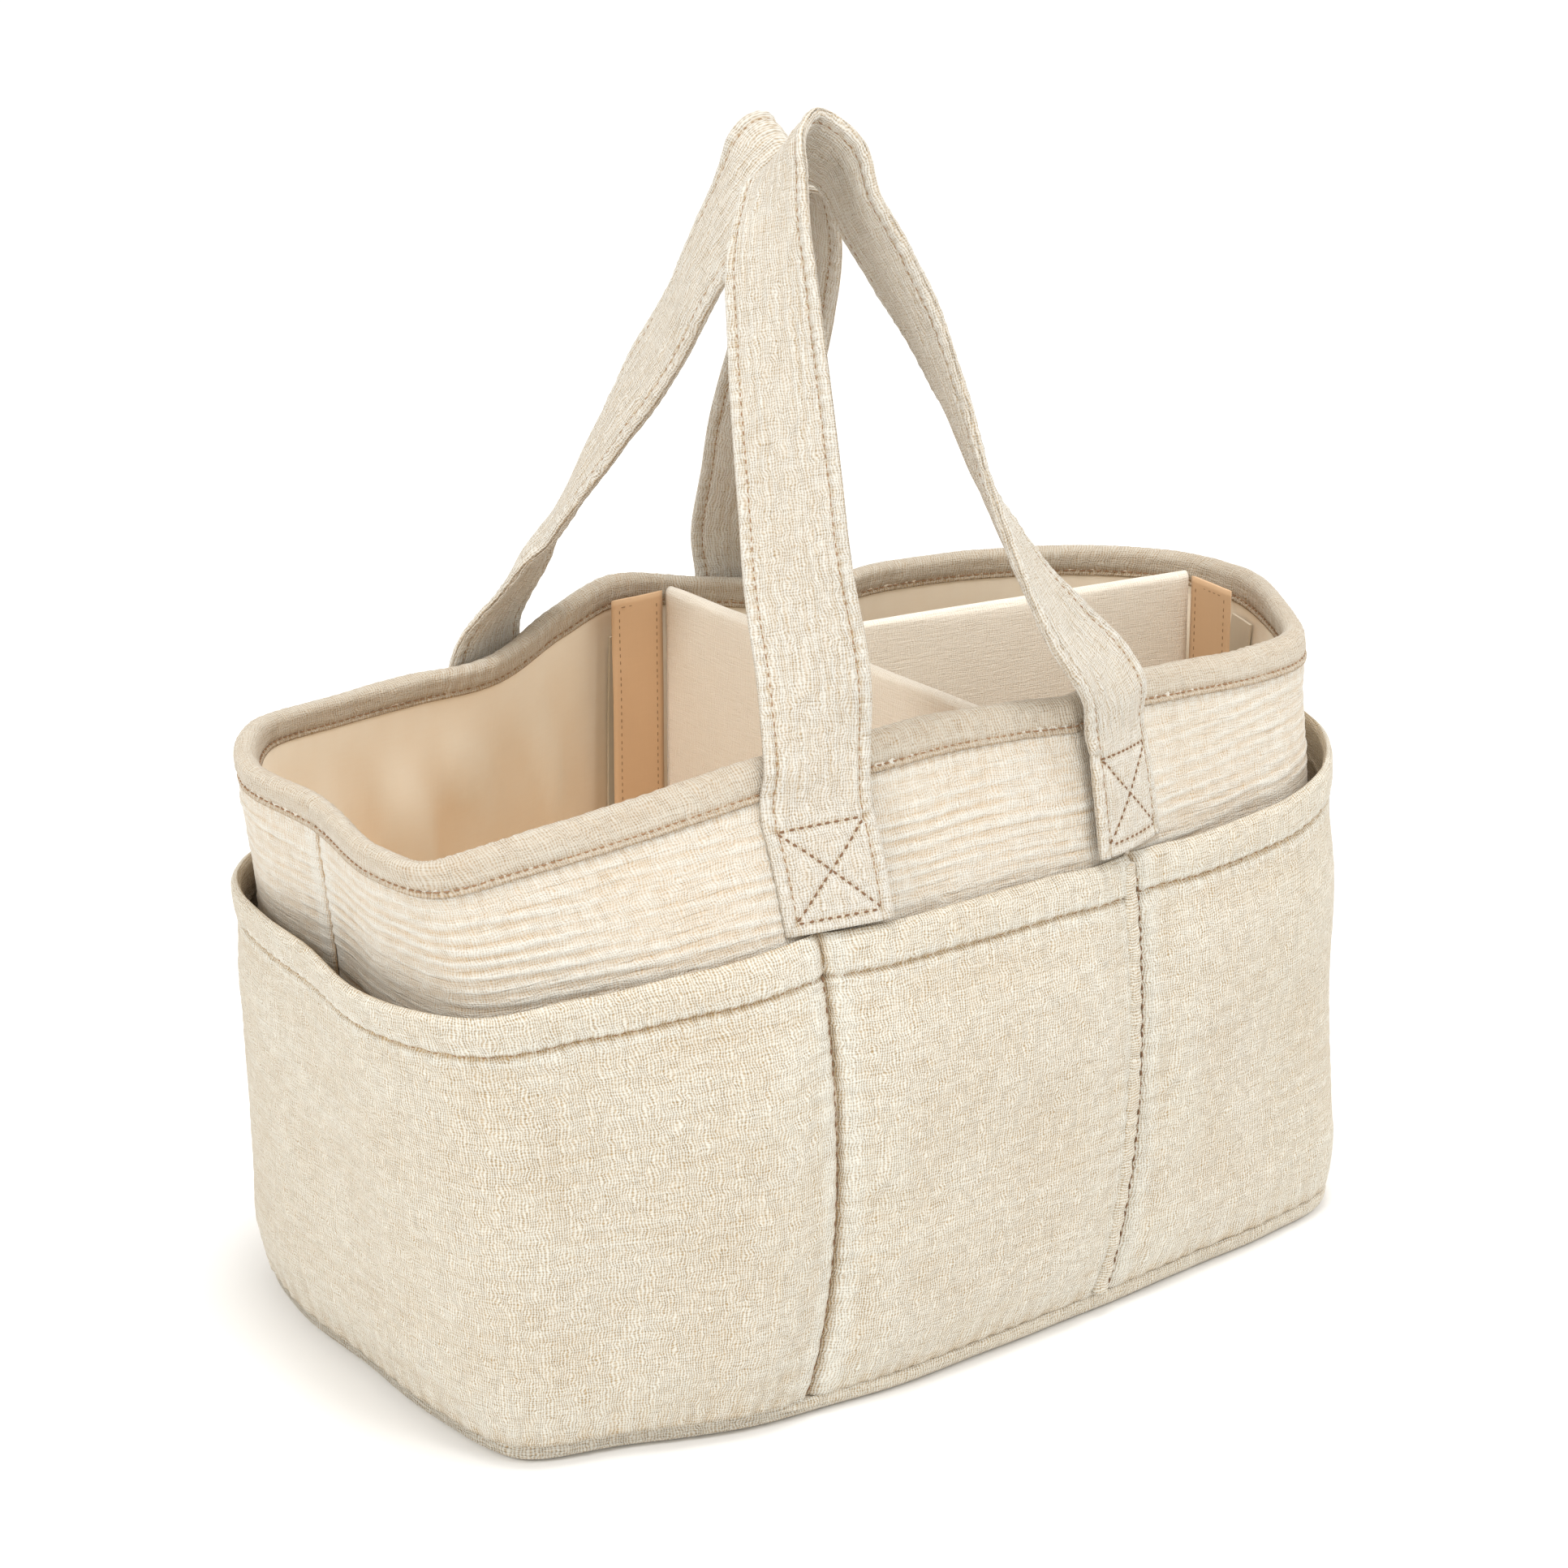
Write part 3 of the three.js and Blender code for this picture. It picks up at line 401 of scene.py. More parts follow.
def cloth(name, colour, shade, pitch=0.8, pores=0.6, slub=0.5, fuzz=0.3, depth=0.0004, strength=0.8,
          mottle=0.3, sheen=0.12, streak=0.35, bubble=0.0, bubble_size=(230, 330), crease=0.0,
          crease_pitch=7.0, lengthwise=False, contrast=0.95, space="UV"):
    """Woven cloth with pores, slubs, streaks, bubbles and creases, pitches in millimetres.

    The tone runs from colour to shade, and leans to shade as painted shade: in the furrows stored on the
    mesh, in the creases and between the bubbles.
    """
    m, tree, bsdf = shader(name, colour, Roughness=0.92, Sheen_Weight=sheen, Sheen_Roughness=0.5,
                           Specular_IOR_Level=0.15)

    def combine(operation):
        return lambda a, b: maths(tree, operation, a, b)

    add, subtract, multiply = combine("ADD"), combine("SUBTRACT"), combine("MULTIPLY")

    def vector(operation, inputs):
        return node(tree, "ShaderNodeVectorMath", inputs, operation=operation).outputs[0]

    def bands(way, inputs):
        return node(tree, "ShaderNodeTexWave", inputs, bands_direction=way).outputs["Fac"]

    def step(value, low, high):
        return node(tree, "ShaderNodeMapRange", {"Value": value, "From Min": low, "From Max": high},
                    interpolation_type="SMOOTHSTEP").outputs[0]

    place = node(tree, "ShaderNodeTexCoord").outputs[space]
    if lengthwise:
        parts = node(tree, "ShaderNodeSeparateXYZ", {0: place}).outputs
        place = node(tree, "ShaderNodeCombineXYZ", {0: parts[1], 1: parts[0], 2: parts[2]}).outputs[0]
    wander = node(tree, "ShaderNodeTexNoise", {"Vector": place, "Scale": 170.0, "Detail": 3.0})
    wobble = vector("SUBTRACT", {0: wander.outputs["Color"], 1: (0.5, 0.5, 0.5)})
    push = vector("SCALE", {0: wobble, "Scale": pitch * 0.004})
    bent = vector("ADD", {0: place, 1: push})
    warp = bands("X", {"Vector": bent, "Scale": BAND / pitch})
    weft = bands("Y", {"Vector": bent, "Scale": BAND / pitch * 1.1})
    slub_weft = sheet_noise(tree, place, 1.0, 3, 0.6, (110, 1100, 1))
    slub_warp = sheet_noise(tree, place, 1.0, 3, 0.6, (900, 70, 1))
    slubs = add(slub_weft, slub_warp)
    gaps = add(multiply(subtract(1.0, warp), 0.66), multiply(subtract(1.0, weft), 0.34))
    gaps = maths(tree, "POWER", multiply(gaps, subtract(1.9, slubs)), 1.7)
    fluff = sheet_noise(tree, place, 1000.0, 3, 0.65)
    height = subtract(multiply(slubs, slub), multiply(gaps, pores))
    height = add(height, multiply(fluff, fuzz))
    broad = sheet_noise(tree, place, 22.0, 3, 0.55)
    tone = add(multiply(gaps, pores), multiply(broad, mottle))
    tone = subtract(add(tone, multiply(slub_warp, streak)), streak * 0.5 + mottle * 0.5)
    if bubble:
        puffs = sheet_noise(tree, place, 1.0, 2, 0.45, (*bubble_size, 1))
        height = add(height, multiply(puffs, bubble * 4.5))
        # painted shade: the low parts between the puffs are darker
        tone = subtract(tone, multiply(subtract(puffs, 0.5), bubble * 0.9))
    if crease:
        flat = node(tree, "ShaderNodeMapping", {"Vector": place, "Scale": (0.16, 1, 1)}).outputs[0]
        lines = bands("Y", {"Vector": flat, "Scale": BAND / crease_pitch, "Distortion": 1.7, "Detail": 2.0,
                            "Detail Scale": 0.9, "Detail Roughness": 0.55})
        patchy = sheet_noise(tree, place, 1.0, 2, 0.5, (45, 90, 1))
        folds = multiply(step(lines, 0.86, 1.0), step(patchy, 0.40, 0.66))
        height = subtract(height, multiply(folds, crease * 2.2))
        # painted shade: the creases are darker
        tone = add(tone, multiply(folds, crease * 0.4))
    bump = node(tree, "ShaderNodeBump", {"Height": height, "Strength": strength, "Distance": depth})
    tree.links.new(bump.outputs[0], bsdf.inputs["Normal"])
    # painted shade: the stored furrow shade darkens and warms the tone
    furrow = node(tree, "ShaderNodeAttribute", attribute_type="GEOMETRY", attribute_name="painted_shade")
    tone = add(tone, multiply(furrow.outputs["Fac"], 0.6))
    ramp = node(tree, "ShaderNodeMapRange", {"Value": tone, "From Min": -0.05, "From Max": contrast})
    mix = node(tree, "ShaderNodeMix", {"Factor": ramp.outputs[0]}, data_type="RGBA")
    mix.inputs[6].default_value = (*colour, 1)
    mix.inputs[7].default_value = (*shade, 1)
    tree.links.new(mix.outputs[2], bsdf.inputs["Base Color"])
    rough = node(tree, "ShaderNodeMapRange", {"Value": slubs, "From Min": 0.5, "From Max": 1.5,
                                              "To Min": 0.84, "To Max": 0.98})
    tree.links.new(rough.outputs[0], bsdf.inputs["Roughness"])
    return m


RIDGE_PITCH = 4.6
COTTON = dict(pitch=0.4, pores=0.2, slub=0.2, fuzz=0.15, depth=0.00012, mottle=0.3, sheen=0.1, streak=0.15)
SPUN = dict(pitch=0.3, pores=0.3, slub=0.3, depth=0.0001, space="Object")
LINING_TONES = (0.98, 0.90, 0.76), (0.86, 0.58, 0.32)
GAUZE = cloth("wall_gauze", (0.72, 0.695, 0.63), (0.55, 0.36, 0.175), pitch=1.0, pores=0.8, slub=0.8,
              streak=0.35, bubble=0.30, crease=0.30, crease_pitch=RIDGE_PITCH, contrast=1.15)
POCKET = cloth("pocket_gauze", (0.765, 0.745, 0.67), (0.49, 0.335, 0.165), pitch=1.05, pores=1.35, slub=1.2,
               depth=0.00045, mottle=0.3, streak=0.7, bubble=0.10, crease=0.16, crease_pitch=8.0,
               contrast=1.3)
STRAP = cloth("strap_gauze", (0.695, 0.67, 0.61), (0.45, 0.315, 0.165), pitch=1.05, pores=1.15, slub=1.0,
              streak=0.55, bubble=0.60, bubble_size=(330, 130), contrast=1.3, lengthwise=True)
BINDING = cloth("bias_binding", (0.605, 0.56, 0.48), (0.41, 0.26, 0.125), pitch=1.0, pores=1.0, slub=0.9,
                streak=0.6, depth=0.00035, bubble=0.15, bubble_size=(420, 160), contrast=1.3)
LINING = cloth("cotton_lining", *LINING_TONES, **COTTON)
FLOOR_LINING = cloth("floor_lining", *LINING_TONES, **COTTON, space="Object")
FLAP = cloth("flap_cotton", (0.75, 0.50, 0.30), (0.55, 0.33, 0.17), **dict(COTTON, pores=0.22, streak=0.2))
LINEN = cloth("divider_linen", (0.92, 0.86, 0.76), (0.58, 0.42, 0.26), pitch=0.9, pores=0.5, slub=0.9,
              depth=0.0003, mottle=0.2, streak=0.45, contrast=1.25)
WADDING = cloth("white_wadding", (0.85, 0.83, 0.78), (0.75, 0.72, 0.66), pitch=1.5, pores=0.1, slub=0.3,
                fuzz=1.0, depth=0.0006)
TAPE = cloth("fastener_tape", (0.82, 0.74, 0.60), (0.55, 0.46, 0.34), pitch=0.9, pores=0.8, slub=0.3,
             fuzz=1.0, depth=0.0006)
THREAD = cloth("thread", (0.24, 0.135, 0.075), (0.13, 0.07, 0.04), **SPUN)
PALE_THREAD = cloth("pale_thread", (0.34, 0.20, 0.11), (0.22, 0.12, 0.07), **SPUN)
BOARD = cloth("grey_board", (0.55, 0.45, 0.33), (0.42, 0.34, 0.25), pitch=2.0, pores=0.1, slub=0.5,
              fuzz=0.8, depth=0.0002, sheen=0.0, space="Object")


def dress(obj, material, body, slot_name, *nodes):
    obj.data.materials.clear()
    obj.data.materials.append(material)
    if nodes:
        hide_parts(*nodes)
    if body:
        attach(obj, body)
    return obj


# Upper wall: double gauze with crosswise crinkles, drawn in at the end seams
END_SEAMS, DIP_DEPTH, DIP_WIDTH = length_at(np.array([0.0, 14.0])), 1.3, 1.6
SLIT = 0.2
BELOW_FOLD = 1.4


def wall_swell(s, z, station):
    """How far the wall cloth stands out of its plain surface."""
    foot = rim_height(station) - BINDING_DROP
    near_rim = ease((foot - z) / 9.0)
    strong = 0.75 + 0.45 * bell((s - 190) / 160.0)
    ridges = crinkle(s, z, RIDGE_PITCH, 11, 64.0) * 0.62 * strong
    fine = crinkle(s, z, 2.4, 31, 22.0) * 0.25 + 0.12 * noise(s / 3.4, z / 2.6, 32)
    soft = 0.9 * noise(s / 55, z / 38, 5) + 0.5 * noise(s / 21, z / 30, 6)
    puckers = 0.5 * waves(s, 5.3, 2.5 * noise(s / 17, 0, 9)) * np.exp(-np.maximum(foot - z, 0) / 3.0)
    gaps = [np.abs((s - place + TOTAL / 2) % TOTAL - TOTAL / 2) for place in END_SEAMS]
    return ((ridges + fine + soft) * (0.25 + 0.75 * near_rim) + puckers * 0.6
            - DIP_DEPTH * sum(bell(gap / DIP_WIDTH) for gap in gaps))


def pad_swell(s, z, station):
    return -0.15 + 0.12 * noise(s / 12, z / 12, 41)


def wall_layer(name, start, end, near, far, swell, step, rows, material, slot_name, cad_node):
    """One layer of the wall between two stations, and between two depths under its outer face."""
    station, s = stations_between(start, end, step)
    trim = SLIT / (s[1] - s[0]) * (station[1] - station[0])
    station = station.copy()
    station[0] += trim
    station[-1] -= trim
    st = station[:, None]
    z = FOOT + rows * (rim_height(st) - TOP_DROP - BELOW_FOLD - FOOT)
    out = swell(s[:, None], z, st)
    grid = rows_to_section(wall(st, z, near - out), wall(st, z, far))
    # painted shade: the wall cloth is darker and warmer below the pocket tops and in its furrows
    painted_pocket_shade = 0.9 * ease((POCKET_TOP * 0.95 - z) / 22)
    skin = paint_shade(loft(name, grid, False), hollows(out, 3, 0.7) + painted_pocket_shade)
    return dress(skin, material, "caddy", slot_name, cad_node)


WALL_ROWS = np.concatenate([np.linspace(0, 0.6, 9)[:-1], np.linspace(0.6, 1, 105)])
for name, start, end in (("outer_wall_front", 0, 14), ("outer_wall_back", 14, 28)):
    piece = wall_layer(name + "_cloth", start, end, 0, OUTER_T - 0.4, wall_swell, 2.0, WALL_ROWS, GAUZE,
                       "gauze", name)

PAD_ROWS = np.linspace(0, 0.985, 30)
PAD_CORNERS = [3, 11, 17, 25, 31]
PAD_NEAR = OUTER_T + SEAT
for i, place in enumerate(("front", "right_end", "back", "left_end")):
    piece = wall_layer(f"wadding_{place}", PAD_CORNERS[i], PAD_CORNERS[i + 1], PAD_NEAR, PAD_NEAR + PAD_T,
                       pad_swell, 8.0, PAD_ROWS, WADDING, "padding", f"padding_{place}")


# Lining: smooth cotton with a few soft drags
def ring_piece(name, step, section, material, slot_name, *nodes):
    station, s = stations_between(0, COUNT, step)
    grid, outer, inner = section(station[:-1], s[:-1])
    return dress(paint_shade(loft(name, grid, True), outer, inner), material, "caddy", slot_name, *nodes)


LOOP_SPOTS = [[(a + b) * 500 for a, b in zip(*[c[:2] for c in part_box(f"{side}_lining_loops")])]
              for side in ("back", "front", "right")]


def lining_section(station, s):
    rows = np.concatenate([np.linspace(0, 0.9, 45), np.linspace(0.91, 1, 8)])
    st, s = station[:, None], s[:, None]
    top = rim_height(st) - TOP_DROP
    z = FOOT + rows * (top - FOOT)
    near = WALL_T - LINING_T
    fade = ease(z / 40) * ease((top - z - 9) / 50)
    ring = wall(station, AROUND, near)
    loops = np.min([np.hypot(ring[:, 0] - x, ring[:, 1] - y) for x, y in LOOP_SPOTS], axis=0)[:, None]
    calm = ease((loops - 14) / 22)
    drag = (5.5 * noise(s / 40 + z / 110, z / 110, 51) + 2.6 * noise(s / 17 - z / 48, z / 80, 52)
            + 0.5 * noise(s / 8 + z / 40, z / 26, 54)) * fade * calm
    pull = 0.5 * waves(s, 11, 3 * noise(s / 30, 0, 53)) * np.exp(-(top - z) / 14)
    drag = np.maximum(drag + pull * 0.5, -0.5)
    # painted shade: the lining is darker and warmer deeper in the body and in the hollows of its drags
    shade = 0.3 * hollows(drag, 6, 1.6) + 0.85 * ease((212 - z) / 130)
    return rows_to_section(wall(st, z, near), wall(st, z, near + LINING_T + drag)), 0 * shade, shade


lining = ring_piece("lining_cloth", 3.0, lining_section, LINING, "lining", "lining_wall")

# Binding: a padded bias strip over the edge, puckered along its stitching
BIND_OUTER, BIND_INNER = -0.9, WALL_T + 1.1
BIND_MID = (BIND_INNER + BIND_OUTER) / 2
BIND_HALF_W = (BIND_INNER - BIND_OUTER) / 2


def binding_profile(angle, shrink):
    """Depth and drop round the fold; angle 0 is the outer foot, 1 the inner foot."""
    round_r = BIND_HALF_W - shrink - 0.4 * np.sin(math.pi * angle) ** 2
    leg = BINDING_DROP - BIND_HALF_W * 0.8
    length = leg * 2 + math.pi * BIND_HALF_W * 0.9
    p = angle * length
    arc = np.clip((p - leg) / (length - 2 * leg), 0, 1) * math.pi
    depth = BIND_MID - np.cos(arc) * round_r
    drop = -BIND_HALF_W * 0.8 + np.sin(arc) * (BIND_HALF_W * 0.8 - shrink)
    drop = drop - np.maximum(leg - p, 0) - np.maximum(p - (length - leg), 0)
    return depth, drop


def binding_section(station, s):
    share = np.linspace(0, 1, 27)
    side = np.where(share < 0.5, -1.0, 1.0)
    edge = np.minimum(share, 1 - share)
    across, s = edge * 2, s[:, None]
    pucker = (0.2 * waves(s + across * 5.0, 4.6, 3.0 * noise(s / 24, 0.3, 61))
              * (0.5 + 0.5 * noise(s / 15, side * 3, 62)))
    pucker = pucker + 0.35 * waves(s, 3.3, 3.0 * noise(s / 12, side * 2, 66)) * bell(edge / 0.1)
    lump = 0.45 * noise(s / 26, across * 2 + side * 5, 63) + 0.2 * noise(s / 8, across * 3, 64)
    stitch = -0.95 * bell((edge - 0.085) / 0.028)
    swell = (0.1 + pucker + lump + stitch) * ease(edge / 0.03) * 0.95
    depth, drop = binding_profile(share, 0.0)
    inner_depth, inner_drop = binding_profile(share, BINDING_T)
    arc = np.clip((share - 0.28) / 0.44, 0, 1) * math.pi
    out_d, out_z = -np.cos(arc), np.sin(arc)
    st = station[:, None]
    outer = wall(st, rim_height(st) + drop + swell * out_z * 0.8, depth + swell * out_d)
    inner = wall(st, rim_height(st) + inner_drop, inner_depth)
    # painted shade: the binding is darker in its furrows, along both feet and on its inner half
    shade = 0.6 * hollows(swell, 3, 0.6) + 0.9 * bell(edge / 0.04) + 0.3 * ease((share - 0.5) / 0.3)
    return rows_to_section(outer, inner), shade, 0 * shade


binding = ring_piece("rim_binding_cloth", 1.3, binding_section, BINDING, "binding", "rim_binding")


def rim_line(drop, depth, way):
    """A line round the binding for stitches, with its normals outwards, 1, or inwards, -1."""
    station = stations_between(0, COUNT, STITCH_STEP)[0]
    z = rim_height(station) - drop
    points = wall(station, z, depth)
    return points, (wall(station, z, depth - 1) - points) * way


SEWN_DROP, SEWN_SINK = BINDING_DROP - 1.9, 0.45
rim_lines = [rim_line(SEWN_DROP, BIND_OUTER + SEWN_SINK, 1),
             rim_line(SEWN_DROP, BIND_INNER - SEWN_SINK, -1)]
dress(dashes("binding_stitches", rim_lines, 3.1, 2.2, 0.32), PALE_THREAD, "caddy", "binding")


# Pockets: puffed between the seams and the foot, with a folded hem
HEM = 14.0
EDGE_GROOVE, GROOVE_WIDTH = 3.0, 1.9


def pocket_top(station):
    return POCKET_TOP * table(POCKET_TOP_SHARES, station)


def left_share(station):
    """1 at the left end of the body, 0 well away from it."""
    return ease((6.5 - np.minimum(station, COUNT - station)) / 3)


def pocket_place(station, row):
    z = FOOT + row * (pocket_top(station) - FOOT)
    gape = POCKET_GAPE * table(GAPE_SHARES, station) * np.maximum(row, 0) ** GAPE_POWER
    curl = SEAM_CURL * table(CURL_SHARES, station) * np.clip(1 - row, 0, 1) ** SEAM_CURL_POWER
    return station - curl, z, gape


def pocket_swell(s, z, station, edges):
    """How far a pocket's cloth stands out: puffed between its seams, with a folded hem."""
    below, up = pocket_top(station) - z, z - FOOT
    side = np.minimum(np.maximum(s - edges[0], 0), np.maximum(edges[1] - s, 0))
    puff = 2.4 * ease(side / 26) * ease((up + 2) / 24) * (0.35 + 0.65 * ease((below - HEM) / 30))
    hem = 0.85 * np.sin(math.pi * np.clip(below / HEM, 0, 1)) ** 0.7 - 1.5 * bell(below - HEM)
    hem = hem + 0.5 * waves(s, 6, 3 * noise(s / 20, 0, 71)) * np.exp(-np.abs(below - HEM) / 3.5)
    fine = 0.22 * crinkle(s, z, 7.6, 73, 60.0) * ease((below - HEM) / 6)
    fine = fine + 0.1 * crinkle(s, z, 2.2, 74, 14.0)
    soft = 0.9 * noise(s / 48, z / 40, 75) + 0.35 * noise(s / 17, z / 15, 76)
    soft = soft * ease(side / 15) * ease(up / 15)
    pucker = 0.55 * waves(z, 8.5, 3 * noise(z / 16, side / 40, 77)) * np.exp(-side / 6) * ease(side / 3.0)
    foot = -(2.0 - 1.1 * left_share(station)) * np.exp(-up / 4.5)
    foot = foot + 0.35 * waves(s, 9, 3 * noise(s / 25, 1, 78)) * np.exp(-up / 9)
    return puff + hem + fine + soft + pucker + foot - EDGE_GROOVE * bell(side / GROOVE_WIDTH)


POCKET_ROWS = np.concatenate([np.linspace(0, 0.05, 6)[:-1], np.linspace(0.05, 0.88, 92)[:-1],
                              np.linspace(0.88, 1.0, 26)])
POCKETS = {"pocket_left": (-5, 5), "pocket_front": (5, 9), "pocket_right": (9, 19), "pocket_back": (19, 23)}
pocket_edges = {}
for name, (start, end) in POCKETS.items():
    station, s = stations_between(start, end, 1.9)
    st = station[:, None]
    real, z, gape = pocket_place(st, POCKET_ROWS)
    pocket_edges[name] = s[0], s[-1]
    out = pocket_swell(s[:, None], z, st, pocket_edges[name])
    tip = ease((1 - POCKET_ROWS) / 0.012)
    face = POCKET_GAP + gape + POCKET_T * (0.5 + 0.5 * tip) + out
    back = POCKET_GAP + gape + POCKET_T * (0.5 - 0.5 * tip) + 0.3 + 0.25 * np.clip(out, -1, 1) * tip
    grid = rows_to_section(wall(real, z, -face), wall(real, z, -np.minimum(back, face - 0.6)))
    # painted shade: the pocket's face is darker in its furrows and its whole inner side is darker and
    # warmer
    piece = paint_shade(loft(name + "_cloth", grid, False), hollows(out, 4, 1.3), 0.8 + 0 * out)
    dress(piece, POCKET, "caddy", "pocket_gauze", name)


def hem_line(name, start, end):
    station, s = stations_between(start, end, STITCH_STEP)
    top = pocket_top(station)
    real, z, gape = pocket_place(station, (top - HEM - FOOT) / (top - FOOT))
    depth = -(POCKET_GAP + gape + POCKET_T + pocket_swell(s, z, station, pocket_edges[name]))
    points = wall(real, z, depth)
    return points, wall(real, z, depth - 1) - points


hems = [hem_line("pocket_left", -4.96, 4.96), hem_line("pocket_front", 5.05, 8.95),
        hem_line("pocket_right", 9.04, 18.96), hem_line("pocket_back", 19.05, 22.95)]
dress(dashes("hem_stitches", hems, 3.2, 2.3, 0.3), PALE_THREAD, "caddy", "pocket_gauze")

# Welt over the seam right of the front pocket, and stitches down every seam
SEAM_ROWS = np.linspace(0.01, 0.985, 260)
WELT_SEAM, WELT_SIDE, WELT_WIDE, WELT_LIFT, WELT_HIGH = 9, -3.3, 3.1, -0.8, 2.5


def seam_run(station, offset, lift):
    """A line down a pocket seam, offset along the cloth and lifted off it."""
    real, z, gape = pocket_place(float(station), SEAM_ROWS)
    low, high = length_at(np.array([station - 0.5, station + 0.5]))
    real, depth = real + offset / (high - low), -(POCKET_GAP + gape + POCKET_T + lift)
    points = wall(real, z, depth)
    return points, wall(real, z, depth - 1) - points


welt_rings = []
wave = 0.35 * np.cos(SEAM_ROWS * 120 + 3 * noise(SEAM_ROWS * 14, 0, 81))
for angle in np.linspace(0, 2 * math.pi, 14, endpoint=False):
    offset = WELT_SIDE + WELT_WIDE * math.cos(angle) + 0.5 * wave
    lift = WELT_LIFT + WELT_HIGH * math.sin(angle) + 0.6 * wave
    welt_rings.append(seam_run(WELT_SEAM, offset, lift)[0])
welt = loft("front_seam_welt", np.stack(welt_rings, 1)[:, ::-1], False)
dress(welt, POCKET, "caddy", "pocket_gauze")
seam_lines = [seam_run(k, -0.9, -1.9) for k in (5, 19, 23)] + [seam_run(WELT_SEAM, 1.5, -1.2)]
dress(dashes("seam_stitches", seam_lines, 3.6, 2.5, 0.42), THREAD, "caddy", "pocket_gauze")


# Base panel: turned-up band with a soft round edge, flat underneath
PINCH = 0.9995  # how far towards the middle the rings of a level cloth go


def drawn_in(ring, share):
    """A level ring, drawn in towards the middle of the body."""
    return ring + (np.array([SHIFT[0], SHIFT[1], ring[0, 2]]) - ring) * share


def base_grid():
    station, s = [v[:-1] for v in stations_between(0, COUNT, 3.0)]
    flat, reach = 20.0, 110
    profile = [(130.0, 0.0), (60.0, 0.0), (flat, 0.0), (9.0, 0.0), (7.0, 0.05), (5.0, 0.4), (3.3, 1.3),
               (2.3, 2.6), (1.8, 4.0), (1.6, 5.2), (1.6, 6.2), (1.9, 7.2), (2.4, BASE_BAND),
               (2.6, BASE_BAND), (2.6, BASE_SKIN), (flat, BASE_SKIN), (60.0, BASE_SKIN), (130.0, BASE_SKIN)]
    rows = []
    for k, (inset, z) in enumerate(profile):
        if inset > flat:
            rows.append(drawn_in(outline(station, 0, flat, z) + SHIFT, (inset - flat) / reach * PINCH))
            continue
        if 4 < k < 12:
            inset = inset - 0.3 * noise(s / 22, z / 4, 91) + 1.3 * left_share(station)
        rows.append(outline(station, 0, inset, z) + SHIFT)
    return np.stack(rows, 1)


base = dress(loft("base_cloth", base_grid(), True), POCKET, "caddy", "pocket_gauze", "base_panel")

station = stations_between(0, COUNT, 4.0)[0][:-1]
floor_rings = []
for level, z in enumerate(corner[2] * 1000 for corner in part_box("lining_floor")):
    for share in np.linspace(*((PINCH, 0) if level else (0, PINCH)), 24):
        ring = drawn_in(outline(station, 0, 3.2, z) + SHIFT, share)
        if level:
            ring[:, 2] += 0.25 * noise(ring[:, 0] / 40, ring[:, 1] / 40, 95) - 0.3
        floor_rings.append(ring)
floor_cloth = loft("floor_cloth", np.stack(floor_rings, 1)[:, ::-1], True)
dress(floor_cloth, FLOOR_LINING, "caddy", "lining", "lining_floor")


# Handles: one strap each from its left sewn end over the top to the right one
SIDES = {"front": (3, 11), "back": (17, 25)}
TAB_YAW = {"front": (0.15, -0.2), "back": (0.0, 0.0)}
TAB_LIFT, STRAP_STEP = 3.4, 1.2
BOX_LOW, BOX_DROP, BOX_MARGIN, BOX_REACH = 4.0, 6.0, 4.0, 15.0
SEWN_EDGE, SEWN_START, ROUNDED = 14.6, 4.0, 2.2
STRAP_HALF, STRAP_PLUMP, EDGE_ROUND = 2.1, 0.55, 2.4
OTHER_FACE = 40  # what the seed of a strap's lower face lies above that of the upper one


def side_stations(side):
    return np.linspace(*SIDES[side], 500)


def skin_at(side, along, z):
    """Point of the wall's outer face at a place along the body and a height."""
    points = wall(side_stations(side), float(z), 0.0)
    points = points[np.argsort(points[:, 0])]
    return line_at(points, points[:, 0], along)


def rim_above(side, along):
    st = side_stations(side)
    tops = wall(st, rim_height(st), 0.0)
    return tops[np.argmin(np.abs(tops[:, 0] - along)), 2]


